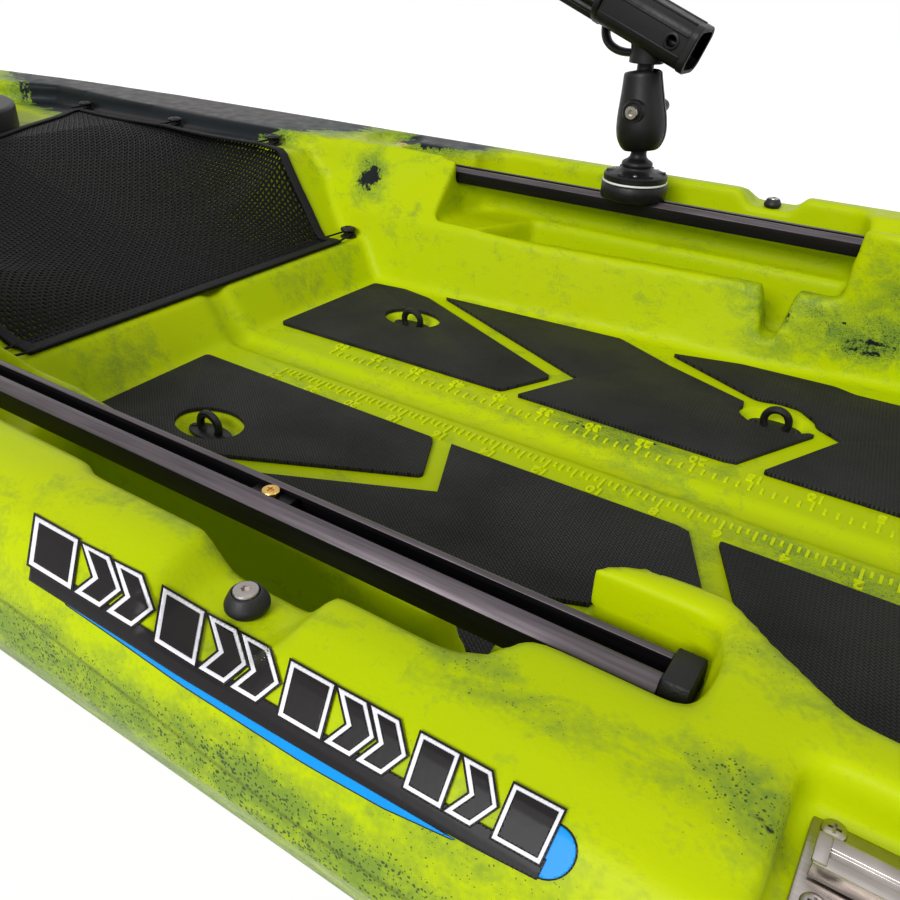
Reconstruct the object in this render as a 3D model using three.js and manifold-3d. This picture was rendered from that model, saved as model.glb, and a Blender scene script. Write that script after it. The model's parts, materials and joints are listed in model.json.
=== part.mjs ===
// Sit-on-top fishing kayak, moulded in two sections that latch together amidships.
// Millimetres, +Z up, bow towards -X, starboard towards +Y, bottom of the hull at Z = 0.
import * as THREE from 'three';
import { mergeVertices } from 'three/addons/utils/BufferGeometryUtils.js';
import Module from 'manifold-3d';

const wasm = await Module();
wasm.setup();

// Driving dimensions
const hullLength = 3760;
const beam = 928;
const hullDepth = 344;
const deckHeight = 190;
const hullWall = 5;
const sectionJointX = 45;
const sectionGap = 0.6;
const fitGap = 0.3;
const overrun = 40;

const halfLength = hullLength / 2;
const halfBeam = beam / 2;
const coaming = hullDepth - deckHeight;
const portAndStarboard = [['port', -1], ['starboard', 1]];

// Height at a share of the way from the standing deck up to the gunwale
function level(share) {
  return deckHeight + share * coaming;
}

// Heights of the moulded levels, as shares of the coaming
const riserShare = 0.312;
const ridgeShare = 0.52;
const ledgeShare = 0.909;
const riserTop = level(riserShare);
const ridgeTop = level(ridgeShare);
const ledgeTop = level(ledgeShare);

// Turns a geometry into a solid that can be joined and cut
function solidOf(geometry) {
  const bare = new THREE.BufferGeometry();
  bare.setAttribute('position', geometry.getAttribute('position'));
  bare.setIndex(geometry.getIndex());
  const merged = mergeVertices(bare);
  const corners = Array.from(merged.getIndex().array);
  const kept = [];
  for (let i = 0; i < corners.length; i += 3) {
    const [a, b, c] = corners.slice(i, i + 3);
    if (a !== b && b !== c && c !== a) kept.push(a, b, c);
  }
  return new wasm.Manifold(new wasm.Mesh({
    numProp: 3,
    vertProperties: new Float32Array(merged.getAttribute('position').array),
    triVerts: new Uint32Array(kept),
  }));
}

function geometryOf(solid) {
  const mesh = solid.getMesh();
  const geometry = new THREE.BufferGeometry();
  geometry.setAttribute('position', new THREE.BufferAttribute(mesh.vertProperties, 3));
  geometry.setIndex(new THREE.BufferAttribute(mesh.triVerts, 1));
  geometry.computeVertexNormals();
  return geometry;
}

function join(geometries) {
  return geometryOf(geometries.map(solidOf).reduce((whole, piece) => whole.add(piece)));
}

function cut(geometry, cutters) {
  return geometryOf(cutters.map(solidOf).reduce((left, cutter) => left.subtract(cutter), solidOf(geometry)));
}

function meet(first, second) {
  return geometryOf(solidOf(first).intersect(solidOf(second)));
}

// Straight runs of an outline along one axis; outlines are [x, y], [x, z] or [y, z]
function extrude(outline, depth) {
  const shape = new THREE.Shape(outline.map(([a, b]) => new THREE.Vector2(a, b)));
  return new THREE.ExtrudeGeometry(shape, { depth, bevelEnabled: false });
}

function alongZ(outline, low, high) {
  return extrude(outline, high - low).translate(0, 0, low);
}

const axisX = new THREE.Vector3(1, 0, 0);
const axisY = new THREE.Vector3(0, 1, 0);
const axisZ = new THREE.Vector3(0, 0, 1);

function alongX(outline, low, high) {
  const turn = new THREE.Matrix4().makeBasis(axisY, axisZ, axisX);
  return extrude(outline, high - low).applyMatrix4(turn).translate(low, 0, 0);
}

function alongY(outline, low, high) {
  const turn = new THREE.Matrix4().makeBasis(axisZ, axisX, axisY);
  const swapped = outline.map(([x, z]) => [z, x]);
  return extrude(swapped, high - low).applyMatrix4(turn).translate(0, low, 0);
}

function block(x, y, z) {
  return new THREE.BoxGeometry(x[1] - x[0], y[1] - y[0], z[1] - z[0])
    .translate((x[0] + x[1]) / 2, (y[0] + y[1]) / 2, (z[0] + z[1]) / 2);
}

// Turned shape about Z from a closed or axis-to-axis profile of [radius, z]
function turned(profile, sides) {
  const points = profile.map(([radius, z]) => new THREE.Vector2(radius, z));
  return new THREE.LatheGeometry(points, sides).rotateX(Math.PI / 2);
}

function peg(radius, low, high, sides) {
  return turned([[0, low], [radius, low], [radius, high], [0, high]], sides);
}

// Round column with its own half width along X and along Y
function ovalColumn(halfX, halfY, low, high, sides) {
  return peg(halfX, low, high, sides).scale(1, halfY / halfX, 1);
}

function ball(radius, sides) {
  return new THREE.SphereGeometry(radius, sides, sides / 2).rotateX(Math.PI / 2);
}

// Round bar along a list of points
function bar(points, radius, sides, steps) {
  const path = new THREE.CatmullRomCurve3(points.map((p) => new THREE.Vector3(...p)), false, 'centripetal');
  const section = new THREE.Shape();
  section.absarc(0, 0, radius, 0, 2 * Math.PI);
  const outline = section.getSpacedPoints(sides).slice(0, sides);
  return new THREE.ExtrudeGeometry(new THREE.Shape(outline), { steps, extrudePath: path });
}

// Straight-sided frame of round bar, sharp at its corners
function framed(points, radius, sides) {
  const runs = points.slice(1).map((end, i) => {
    const path = new THREE.LineCurve3(new THREE.Vector3(...points[i]), new THREE.Vector3(...end));
    const section = new THREE.Shape();
    section.absarc(0, 0, radius, 0, 2 * Math.PI);
    const outline = section.getSpacedPoints(sides).slice(0, sides);
    return new THREE.ExtrudeGeometry(new THREE.Shape(outline), { steps: 1, extrudePath: path });
  });
  const knees = points.slice(1, -1).map((p) => ball(radius, sides).translate(...p));
  return [...runs, ...knees];
}

// Skin over rings of equal count, closed at both ends
function loft(rings, flatten) {
  const count = rings[0].length;
  const faces = [];
  for (let i = 0; i + 1 < rings.length; i += 1) {
    for (let j = 0; j < count; j += 1) {
      const a = i * count + j;
      const b = i * count + (j + 1) % count;
      faces.push(a, b, b + count, a, b + count, a + count);
    }
  }
  const last = (rings.length - 1) * count;
  for (const [a, b, c] of capFaces(rings[0], flatten)) faces.push(c, b, a);
  for (const [a, b, c] of capFaces(rings[rings.length - 1], flatten)) faces.push(last + a, last + b, last + c);
  const points = rings.flat();
  return closedGeometry(points, faces);
}

// Triangles over one ring, wound the same way round as the ring itself; the small
// wobble keeps points that lie on one straight line in the triangles
const capWobble = 0.002;

function capFaces(ring, flatten) {
  const flat = ring.map((p, i) => new THREE.Vector2(...flatten(p)).addScalar(capWobble * Math.sin(i * i)));
  const forward = THREE.ShapeUtils.area(flat) > 0;
  return THREE.ShapeUtils.triangulateShape(flat, [])
    .map(([a, b, c]) => (isForward(flat, a, b, c) === forward ? [a, b, c] : [c, b, a]));
}

function isForward(flat, a, b, c) {
  return THREE.ShapeUtils.area([flat[a], flat[b], flat[c]]) > 0;
}

function closedGeometry(points, faces) {
  let volume = 0;
  for (let i = 0; i < faces.length; i += 3) {
    const [a, b, c] = faces.slice(i, i + 3).map((k) => new THREE.Vector3(...points[k]));
    volume += a.dot(b.cross(c));
  }
  const outward = volume > 0 ? faces : faces.slice().reverse();
  const geometry = new THREE.BufferGeometry();
  geometry.setAttribute('position', new THREE.Float32BufferAttribute(points.flat(), 3));
  geometry.setIndex(outward);
  geometry.computeVertexNormals();
  return geometry;
}

const seenFromAbove = ([x, y]) => [x, y];
const seenFromBow = ([, y, z]) => [y, z];

// Moves every side of an outline outwards by one distance; a sharp corner moves no
// further than this share allows
const sharpCornerShare = 0.5;

function grown(outline, distance) {
  const flat = outline.map((p) => new THREE.Vector2(...p));
  const sense = Math.sign(THREE.ShapeUtils.area(flat));
  return flat.map((p, i) => {
    const before = flat[(i + flat.length - 1) % flat.length];
    const after = flat[(i + 1) % flat.length];
    const a = p.clone().sub(before).normalize();
    const b = after.clone().sub(p).normalize();
    const normal = new THREE.Vector2(a.y + b.y, -a.x - b.x).normalize();
    const reach = sense * distance / Math.max(normal.dot(new THREE.Vector2(a.y, -a.x)), sharpCornerShare);
    return [p.x + normal.x * reach, p.y + normal.y * reach];
  });
}

// Outline over both sides of the centreline from its starboard half
function mirrored(half) {
  const port = half.map(([x, y]) => [x, -y]).reverse();
  return [...half, ...port];
}

// Shares of the half length and half beam turned into places on the boat
function placed(shares, side = 1) {
  return shares.map(([x, y]) => [x * halfLength, side * y * halfBeam]);
}

// Pocket whose walls lean out from its floor to its mouth
function pocket(mouth, floor, top, draft) {
  const foot = grown(mouth, -draft);
  const rings = [[foot, floor], [mouth, top]].map(([outline, z]) => outline.map(([x, y]) => [x, y, z]));
  return loft(rings, seenFromAbove);
}

const finish = {
  polyethylene: { color: 0xb9d420, roughness: 0.42, metalness: 0 },
  foam: { color: 0x2a2a2c, roughness: 0.9, metalness: 0 },
  blackPlastic: { color: 0x17181b, roughness: 0.5, metalness: 0 },
  whitePlastic: { color: 0xe8e8e6, roughness: 0.45, metalness: 0 },
  anodised: { color: 0x26242a, roughness: 0.35, metalness: 0.8 },
  stainless: { color: 0xc4c2bd, roughness: 0.28, metalness: 1 },
  brass: { color: 0xc8a04a, roughness: 0.35, metalness: 1 },
  netting: { color: 0x141414, roughness: 0.85, metalness: 0 },
  rubber: { color: 0x1c1c1e, roughness: 0.75, metalness: 0 },
  seatFabric: { color: 0x33363a, roughness: 0.95, metalness: 0 },
};

const kayak = new THREE.Group();

function add(name, geometry, look, parent = kayak) {
  const mesh = new THREE.Mesh(geometry, new THREE.MeshStandardMaterial(finish[look]));
  mesh.name = name;
  parent.add(mesh);
  return mesh;
}

// Hull lines: plan, rocker and sheer along the length, and one section shape
const bowPlanPower = 5.6;
const bowEndPower = 0.72;
const sternPlanPower = 5;
const sternEndPower = 0.45;
const bowKeelRise = 250;
const sternKeelRise = 170;
const bowSheerRise = 45;
const sternSheerRise = 22;
const flatKeelShare = 0.4;
const rockerPower = 3.2;
const sheerPower = 4;
const tipShare = 0.996;
const outerStations = 11;
const innerStations = 6;
const sectionShares = [
  [0.15, 0], [0.215, 0.04], [0.355, 0.04], [0.42, 0], [0.58, 0], [0.68, 0.075], [0.77, 0.203],
  [0.845, 0.363], [0.905, 0.523], [0.963, 0.692], [1, 0.828], [0.99, 0.895], [0.972, 0.946],
  [0.943, 0.984], [0.9, 1],
];

function hullRing(share, inset) {
  const reach = Math.abs(share);
  const [planPower, endPower] = share < 0 ? [bowPlanPower, bowEndPower] : [sternPlanPower, sternEndPower];
  const width = halfBeam * (1 - reach ** planPower) ** endPower - inset;
  const rocker = Math.max(0, (reach - flatKeelShare) / (1 - flatKeelShare)) ** rockerPower;
  const low = rocker * (share < 0 ? bowKeelRise : sternKeelRise) + inset;
  const high = hullDepth + (share < 0 ? bowSheerRise : sternSheerRise) * reach ** sheerPower - inset;
  const x = share / tipShare * (halfLength - inset);
  const starboard = sectionShares.map(([y, z]) => [x, y * width, low + z * (high - low)]);
  const port = starboard.map(([, y, z]) => [x, -y, z]).reverse();
  return [...starboard, ...port];
}

function hullForm(inset, stations) {
  const rings = [];
  for (let i = -stations; i <= stations; i += 1) {
    rings.push(hullRing(tipShare * Math.sin(i / stations * Math.PI / 2), inset));
  }
  return loft(rings, seenFromBow);
}

// Cockpit walls: rows of x, then the half width at deck, ridge and gunwale level
const cockpitWallShares = [
  [-0.83, 0.13, 0.13, 0.13], [-0.816, 0.32, 0.33, 0.34], [-0.787, 0.46, 0.5, 0.53],
  [-0.745, 0.53, 0.6, 0.63], [-0.69, 0.54, 0.607, 0.637], [-0.483, 0.54, 0.612, 0.644],
  [-0.458, 0.535, 0.609, 0.648], [-0.394, 0.53, 0.582, 0.685], [-0.339, 0.533, 0.578, 0.716],
  [-0.314, 0.539, 0.579, 0.72], [-0.248, 0.566, 0.606, 0.72], [-0.184, 0.599, 0.634, 0.72],
  [-0.125, 0.612, 0.656, 0.72], [-0.083, 0.643, 0.666, 0.7], [-0.07, 0.66, 0.672, 0.668],
  [-0.05, 0.672, 0.68, 0.664], [-0.039, 0.678, 0.69, 0.702], [-0.022, 0.686, 0.703, 0.748],
  [0.024, 0.69, 0.711, 0.758], [0.213, 0.69, 0.711, 0.758], [0.335, 0.672, 0.694, 0.74],
  [0.392, 0.64, 0.66, 0.7],
];
const ledgeStartShare = -0.458;
const rampFootShare = -0.41;
const riserTopShare = -0.3925;
const riserFootShare = -0.375;
const deckEndShare = 0.345;
const deckEndTopShare = 0.38;

function cockpitWalls(grow) {
  const atDeck = ([x, half]) => [x, half];
  const atRidge = ([x, , half]) => [x, half];
  const atGunwale = ([x, , , half]) => [x, half];
  const levels = [
    [atDeck, deckHeight - overrun], [atDeck, deckHeight], [atRidge, ridgeTop], [atGunwale, hullDepth],
    [atGunwale, hullDepth + 2 * overrun],
  ];
  const rings = levels.map(([column, z]) => (
    grown(mirrored(placed(cockpitWallShares.map(column))), grow).map(([x, y]) => [x, y, z])
  ));
  return loft(rings, seenFromAbove);
}

// Everything above the deck line, seen from the side: ledge, ramp, riser and deck
function aboveDeck(grow) {
  const top = hullDepth + 2 * overrun;
  const profile = [
    [-halfLength, ledgeTop], [ledgeStartShare * halfLength, ledgeTop], [rampFootShare * halfLength, riserTop],
    [riserTopShare * halfLength, riserTop], [riserFootShare * halfLength, deckHeight],
    [deckEndShare * halfLength, deckHeight], [deckEndTopShare * halfLength, hullDepth],
    [deckEndTopShare * halfLength, top], [-halfLength, top],
  ];
  return alongY(grown(profile, grow), -beam, beam);
}

// Open bays above the side troughs, where the gear tracks cross
const bayShares = [
  [-0.339, 0.6], [-0.339, 0.74], [-0.332, 0.805], [-0.319, 0.842], [-0.207, 0.849], [-0.2, 0.86],
  [-0.094, 0.86], [-0.086, 0.848], [-0.081, 0.81], [-0.081, 0.6],
];
const troughShares = [[-0.313, 0.612], [-0.248, 0.638], [-0.184, 0.668], [-0.125, 0.69], [-0.085, 0.7],
  [-0.081, 0.812], [-0.29, 0.812]];
const troughFloorShare = 0.078;
const troughDraft = 6;
const notchShares = [[-0.124, 0.56], [-0.104, 0.56], [-0.109, 0.175], [-0.117, 0.175]];
const notchReachShares = [0.57, 0.74];

// Storage well under the mesh cover, and the tank well behind the seat
const meshWellShares = [
  [-0.405, 0.478], [-0.426, 0.51], [-0.458, 0.543], [-0.483, 0.556], [-0.678, 0.565],
  [-0.694, 0.53], [-0.678, 0.431], [-0.657, 0.259], [-0.638, 0.129], [-0.63, 0.06],
];
const meshWellFloorShare = 0.1;
const meshWellFloor = level(meshWellFloorShare);
const meshWellTop = ledgeTop + hullWall;
const tankWellShares = [[0.432, 0.52], [0.45, 0.6], [0.5, 0.63], [0.68, 0.61], [0.76, 0.55],
  [0.782, 0.44], [0.79, 0.2]];
const tankWellFloorShare = 0.2;
const wellDraft = 14;

// Centre groove moulded along the deck
const grooveWidth = 33;
const grooveDepth = 7;
const grooveShares = [[-0.5, 0], [-0.39, -0.62], [-0.2, -0.93], [0, -1], [0.2, -0.93], [0.39, -0.62], [0.5, 0]];
const grooveEndShare = 0.33;

function groove(grow) {
  const section = grooveShares.map(([y, z]) => [y * grooveWidth, z * grooveDepth]);
  const outline = grown([...section, [grooveWidth / 2, overrun], [-grooveWidth / 2, overrun]], grow);
  const path = [
    [grooveEndShare * halfLength, deckHeight], [riserFootShare * halfLength, deckHeight],
    [riserTopShare * halfLength, riserTop], [rampFootShare * halfLength, riserTop],
  ];
  const rings = path.map(([x, z]) => outline.map(([y, up]) => [x, y, z + up]));
  return loft(rings, seenFromBow);
}

// Gear tracks: aluminium rails with a T slot, let into the gunwale at both ends
const trackWidth = 26;
const trackHeight = 18;
const trackSink = 15;
const trackCentreShare = 0.7457;
const trackBowShare = -0.386;
const trackSternShare = -0.0495;
const trackCapLength = 12;
const trackSlotGap = 1.2;
const trackSlotInnerGap = 9;
const trackSlotLand = 15;
const trackY = trackCentreShare * halfBeam;
const trackTop = hullDepth - trackSink;
const trackSeat = trackTop - trackHeight;
const trackBowX = trackBowShare * halfLength;
const trackSternX = trackSternShare * halfLength;

function trackSlots(grow, side) {
  const floor = trackSeat - fitGap - grow;
  const inner = trackY - trackWidth / 2 - grow;
  const outer = trackY + trackWidth / 2 + trackSlotGap + grow;
  const bayBow = bayShares[2][0] * halfLength;
  const bayStern = bayShares[bayShares.length - 1][0] * halfLength;
  const z = [floor, hullDepth + overrun];
  const sternInner = inner - trackSlotInnerGap - (grow ? trackSlotLand : 0);
  const bow = block([trackBowX - fitGap - grow, bayBow + trackSlotGap], [inner - trackSlotGap, outer], z);
  const stern = block([bayStern - trackSlotGap, trackSternX + trackSlotGap + grow], [sternInner, outer], z);
  return [bow, stern].map((slot) => onSide(slot, side));
}

// Carries a starboard shape to the side that is asked for
function onSide(geometry, side) {
  if (side > 0) return geometry;
  const mirrorPlane = geometry.clone().scale(1, -1, 1);
  const index = mirrorPlane.getIndex();
  const corners = index ? Array.from(index.array) : [...Array(mirrorPlane.getAttribute('position').count).keys()];
  mirrorPlane.setIndex(corners.reverse());
  return mirrorPlane;
}

// Gunwale notch that holds the paddle bumper
const bumperXShare = -0.1395;
const bumperYShare = 0.894;
const notchDepth = 17;
const notchMouth = 74;
const notchFoot = 46;
const notchInnerShare = 0.83;

function bumperNotch(grow, side) {
  const x = bumperXShare * halfLength;
  const floor = hullDepth - notchDepth;
  const outline = [
    [x - notchFoot / 2, floor], [x + notchFoot / 2, floor], [x + notchMouth / 2, hullDepth],
    [x + notchMouth / 2, hullDepth + overrun], [x - notchMouth / 2, hullDepth + overrun], [x - notchMouth / 2, hullDepth],
  ];
  return onSide(alongY(grown(outline, grow), notchInnerShare * halfBeam, beam), side);
}

// Recess for the section latch, open to the top and to the side
const latchRecessBow = 50;
const latchRecessStern = 140;
const latchRecessDepth = 24;
const latchInnerShare = 0.8017;
const latchFloor = hullDepth - latchRecessDepth;

function latchRecess(grow, side) {
  const inner = latchInnerShare * halfBeam - grow;
  const x = [-latchRecessBow - grow, latchRecessStern + grow];
  return onSide(block(x, [inner, beam], [latchFloor - grow, hullDepth + overrun]), side);
}

// Round accessory seat in the gunwale top
const seatXShare = -0.407;
const seatYShare = 0.797;
const seatRadius = 38;
const seatDepth = 6;
const roundSides = 18;
const fewSides = 10;

function accessorySeat(grow, side) {
  const seat = peg(seatRadius + grow, hullDepth - seatDepth - grow, hullDepth + overrun, grow ? fewSides : roundSides);
  return onSide(seat.translate(seatXShare * halfLength, seatYShare * halfBeam, 0), side);
}

// Oval pockets in the deck that hold the strap eyes
const eyePlaceShares = [[-0.3106, 0.341], [-0.0862, 0.3556]];
const eyePocketLength = 66;
const eyePocketWidth = 46;
const eyePocketDepth = 9;

function eyePocket([x, y], grow, side) {
  const low = deckHeight - eyePocketDepth - grow;
  const sides = grow ? fewSides : roundSides;
  const hole = ovalColumn(eyePocketLength / 2 + grow, eyePocketWidth / 2 + grow, low, deckHeight + overrun, sides);
  return onSide(hole.translate(x * halfLength, y * halfBeam, 0), side);
}

// Bow hatch: a hole through the ledge into the hull
const hatchXShare = -0.7255;
const hatchX = hatchXShare * halfLength;
const hatchRadius = 165;
const hatchHoleRadius = 134;
const hatchHeight = 31;
const hatchSides = 28;

function hatchHole() {
  return peg(hatchHoleRadius, ledgeTop - overrun, ledgeTop + overrun, hatchSides).translate(hatchX, 0, 0);
}

// Drain hole through the stern deck
const drainXShare = 0.88;
const drainRadius = 15;
const drainX = drainXShare * halfLength;
const sternSheer = hullDepth + sternSheerRise * drainXShare ** sheerPower;

function drainHole() {
  return peg(drainRadius, sternSheer - overrun, sternSheer + overrun, roundSides).translate(drainX, 0, 0);
}

// Every moulded hollow, grown by a wall when the inside of the shell is cut
function hollows(grow) {
  const cockpit = meet(cockpitWalls(grow), aboveDeck(grow));
  const well = grown(mirrored(placed(meshWellShares)), grow);
  const tank = grown(mirrored(placed(tankWellShares)), grow);
  const list = [
    cockpit,
    pocket(well, meshWellFloor - grow, meshWellTop, wellDraft),
    pocket(tank, level(tankWellFloorShare) - grow, hullDepth + overrun, wellDraft),
    groove(grow),
  ];
  for (const [, side] of portAndStarboard) {
    const bay = grown(placed(bayShares), grow);
    const trough = grown(placed(troughShares), grow);
    const notch = notchShares.map(([x, share]) => [x * halfLength, level(share)]);
    const [notchIn, notchOut] = notchReachShares.map((share) => share * halfBeam);
    list.push(onSide(alongZ(bay, ridgeTop - grow, hullDepth + overrun), side));
    list.push(onSide(pocket(trough, level(troughFloorShare) - grow, ridgeTop + overrun, troughDraft), side));
    list.push(onSide(alongY(grown(notch, grow), notchIn, notchOut), side));
    list.push(...trackSlots(grow, side));
    list.push(bumperNotch(grow, side), latchRecess(grow, side), accessorySeat(grow, side));
    for (const place of eyePlaceShares) list.push(eyePocket(place, grow, side));
  }
  return list;
}

// One moulded shell, hollow inside, cut to its own section of the boat
function hullSections() {
  const outside = cut(hullForm(0, outerStations), hollows(0));
  const inside = cut(hullForm(hullWall, innerStations), hollows(hullWall));
  const wide = [-beam, beam];
  const tall = [-hullDepth, 2 * hullDepth];
  const bowEnd = sectionJointX - sectionGap / 2;
  const sternEnd = sectionJointX + sectionGap / 2;
  const sections = {
    bow: [[-hullLength, bowEnd], [-hullLength, bowEnd - hullWall], hatchHole()],
    stern: [[sternEnd, hullLength], [sternEnd + hullWall, hullLength], drainHole()],
  };
  return Object.fromEntries(Object.entries(sections).map(([name, [whole, hollow, hole]]) => {
    const shell = meet(outside, block(whole, wide, tall));
    const cavity = meet(inside, block(hollow, wide, tall));
    return [name, cut(shell, [cavity, hole])];
  }));
}

const hulls = hullSections();
add('bow_hull', hulls.bow, 'polyethylene');
add('stern_hull', hulls.stern, 'polyethylene');

// Bow hatch ring, seal and quarter-turn lid
const hatchFlangeRadius = 152;
const hatchFlange = 5;
const hatchSpigot = 22;
const hatchSpigotWall = 5;
const sealRadius = 140;
const sealThickness = 4;
const lidSkirt = 7;
const lidPlate = 8;
const lidBoss = 12;
const lidCollarGap = 2;
const fillet = 3;

function hatchRing() {
  const outer = hatchHoleRadius - fitGap;
  const inner = outer - hatchSpigotWall;
  const seat = ledgeTop + fitGap;
  return turned([
    [inner, seat - hatchSpigot], [outer, seat - hatchSpigot], [outer, seat], [hatchFlangeRadius, seat],
    [hatchFlangeRadius, seat + hatchFlange], [inner, seat + hatchFlange], [inner, seat - hatchSpigot],
  ], hatchSides);
}

function hatchSeal() {
  const low = ledgeTop + hatchFlange + 2 * fitGap;
  const [inner, outer] = [sealRadius - sealThickness / 2, sealRadius + sealThickness / 2];
  const high = low + sealThickness;
  return turned([[inner, low], [outer, low], [outer, high], [inner, high], [inner, low]], hatchSides);
}

function hatchLid() {
  const foot = ledgeTop + 2 * fitGap;
  const top = foot + hatchHeight;
  const landing = ledgeTop + hatchFlange + sealThickness + 3 * fitGap;
  const collar = hatchHoleRadius - fitGap - hatchSpigotWall - lidCollarGap;
  return turned([
    [0, top - lidPlate], [collar - lidSkirt, top - lidPlate], [collar - lidSkirt, foot - hatchSpigot / 2],
    [collar, foot - hatchSpigot / 2], [collar, landing], [sealRadius + lidBoss / 2, landing],
    [sealRadius + lidBoss / 2, top - lidPlate], [hatchRadius - lidSkirt, top - lidPlate],
    [hatchRadius - lidSkirt, foot], [hatchRadius, foot], [hatchRadius, top - fillet], [hatchRadius - fillet, top],
    [0, top],
  ], hatchSides);
}

add('bow_hatch_ring', hatchRing().translate(hatchX, 0, 0), 'blackPlastic');
add('bow_hatch_seal', hatchSeal().translate(hatchX, 0, 0), 'rubber');
add('bow_hatch_lid', hatchLid().translate(hatchX, 0, 0), 'blackPlastic');

// Mesh cover over the bow well: netting with a webbing hem, hooked to the ledge
const coverThickness = 2.4;
const hemOverlap = 8;
const hemFrontOverlap = 4.5;
const hemInset = 4;
const coverAftShare = -0.394;
const gapsAlongRamp = 3;
const gapsAlongLedge = 8;
const gapsAcross = 8;
const coverSag = 8;
const strandShare = 0.3;

// Half width of the bow well at a place along the boat
function wellHalfWidth(x) {
  const sides = placed(meshWellShares).slice(0, 5);
  const end = sides.findIndex(([at]) => at <= x);
  if (end <= 0) return end === 0 ? sides[0][1] : sides[sides.length - 1][1];
  const [[x0, y0], [x1, y1]] = [sides[end - 1], sides[end]];
  return y0 + (y1 - y0) * (x - x0) / (x1 - x0);
}

// Front edge of the bow well at a place across the boat
function wellFront(y) {
  const front = placed(meshWellShares).slice(5).reverse();
  const end = front.findIndex(([, at]) => at >= Math.abs(y));
  if (end < 0) return front[front.length - 1][0];
  if (end === 0) return front[0][0];
  const [[x0, y0], [x1, y1]] = [front[end - 1], front[end]];
  return x0 + (x1 - x0) * (Math.abs(y) - y0) / (y1 - y0);
}

// Places of the hem, gaps and strands between two ends
function netLines(from, to, gaps) {
  const pitch = (to - from) / (gaps + (gaps - 1) * strandShare);
  const lines = [];
  for (let i = 0; i < gaps; i += 1) {
    const start = from + i * (pitch + pitch * strandShare);
    lines.push(start, start + pitch);
  }
  return lines;
}

function meshCover() {
  const rampFoot = rampFootShare * halfLength;
  const ledgeStart = ledgeStartShare * halfLength;
  const aft = coverAftShare * halfLength;
  const rampStrand = (rampFoot - ledgeStart) / gapsAlongRamp * strandShare;
  const rampLines = netLines(rampFoot, ledgeStart + rampStrand, gapsAlongRamp);
  const rampRows = [aft, ...rampLines];
  const ledgeRowShares = [...netLines(0, 1, gapsAlongLedge), 1];
  const acrossShares = [-1, ...netLines(-1, 1, gapsAcross), 1];
  const lastRow = rampRows.length + ledgeRowShares.length - 1;
  const outerShare = Math.abs(acrossShares[1]);
  const rests = (x) => {
    if (x > rampFoot) return riserTop;
    if (x < ledgeStart) return ledgeTop;
    return riserTop + (ledgeTop - riserTop) * (rampFoot - x) / (rampFoot - ledgeStart);
  };
  const wallInset = (z) => wellDraft * (meshWellTop - z) / (meshWellTop - meshWellFloor);
  const points = [...rampRows, ...ledgeRowShares].map((row, i) => acrossShares.map((across, j) => {
    const hem = j === 0 || j === acrossShares.length - 1;
    const onRamp = i < rampRows.length;
    const halfAt = (x) => wellHalfWidth(x) - wallInset(rests(x)) + (hem ? hemOverlap : -hemInset);
    let x = onRamp ? row : ledgeStart;
    for (let pass = 0; pass < 4 && !onRamp; pass += 1) {
      const front = wellFront(across * halfAt(x));
      const lastGap = front + hemInset;
      x = i === lastRow ? front - hemFrontOverlap : ledgeStart + row * (lastGap - ledgeStart);
    }
    const y = across * halfAt(x);
    const spanShare = Math.min((aft - x) / (aft - wellFront(0)), 1);
    const taut = riserTop + (ledgeTop - riserTop) * spanShare - coverSag * Math.sin(Math.PI * spanShare);
    const edge = rests(x);
    const liftShare = 1 - Math.min(1, Math.abs(across) / outerShare) ** 3;
    const rim = i >= lastRow - 1 || i === 0 || hem;
    const z = rim ? edge : edge + (taut - edge) * liftShare;
    return [x, y, z + fitGap];
  }));
  return netSheet(points, coverThickness);
}

// Sheet over a grid of points, open at every cell whose row and column are odd
function netSheet(grid, thickness) {
  const rows = grid.length;
  const columns = grid[0].length;
  const points = [...grid.flat(), ...grid.flat().map(([x, y, z]) => [x, y, z + thickness])];
  const lift = rows * columns;
  const isSolid = (i, j) => i >= 0 && j >= 0 && i < rows - 1 && j < columns - 1 && !(i % 2 === 1 && j % 2 === 1);
  const faces = [];
  const quad = (a, b, c, d) => faces.push(a, b, c, a, c, d);
  for (let i = 0; i < rows - 1; i += 1) {
    for (let j = 0; j < columns - 1; j += 1) {
      if (!isSolid(i, j)) continue;
      const [a, b] = [i * columns + j, i * columns + j + 1];
      const [c, d] = [b + columns, a + columns];
      quad(a, b, c, d);
      quad(d + lift, c + lift, b + lift, a + lift);
      if (!isSolid(i - 1, j)) quad(b, a, a + lift, b + lift);
      if (!isSolid(i + 1, j)) quad(d, c, c + lift, d + lift);
      if (!isSolid(i, j - 1)) quad(a, d, d + lift, a + lift);
      if (!isSolid(i, j + 1)) quad(c, b, b + lift, c + lift);
    }
  }
  return closedGeometry(points, faces);
}

add('mesh_cover', meshCover(), 'netting');

// Knobs that hold the mesh cover's loops
const hookRadius = 10.5;
const hookHeight = 13;
const hookWaistShare = 0.62;
const hookSides = 8;
const hookPlaceShares = [[-0.4005, 0.5365], [-0.483, 0.606], [-0.588, 0.606], [-0.699, 0.606]];

function meshHook() {
  return turned([
    [0, 0], [hookRadius, 0], [hookRadius * hookWaistShare, hookHeight / 3], [hookRadius * hookWaistShare, hookHeight / 2],
    [hookRadius, hookHeight * 2 / 3], [hookRadius * hookWaistShare, hookHeight], [0, hookHeight],
  ], hookSides);
}

for (const [sideName, side] of portAndStarboard) {
  hookPlaceShares.forEach(([x, y], i) => {
    const seat = i === 0 ? riserTop : ledgeTop;
    const hook = add(`mesh_hook_${sideName}_${i + 1}`, meshHook(), 'blackPlastic');
    hook.position.set(x * halfLength, side * y * halfBeam, seat + fitGap);
  });
}

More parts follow.
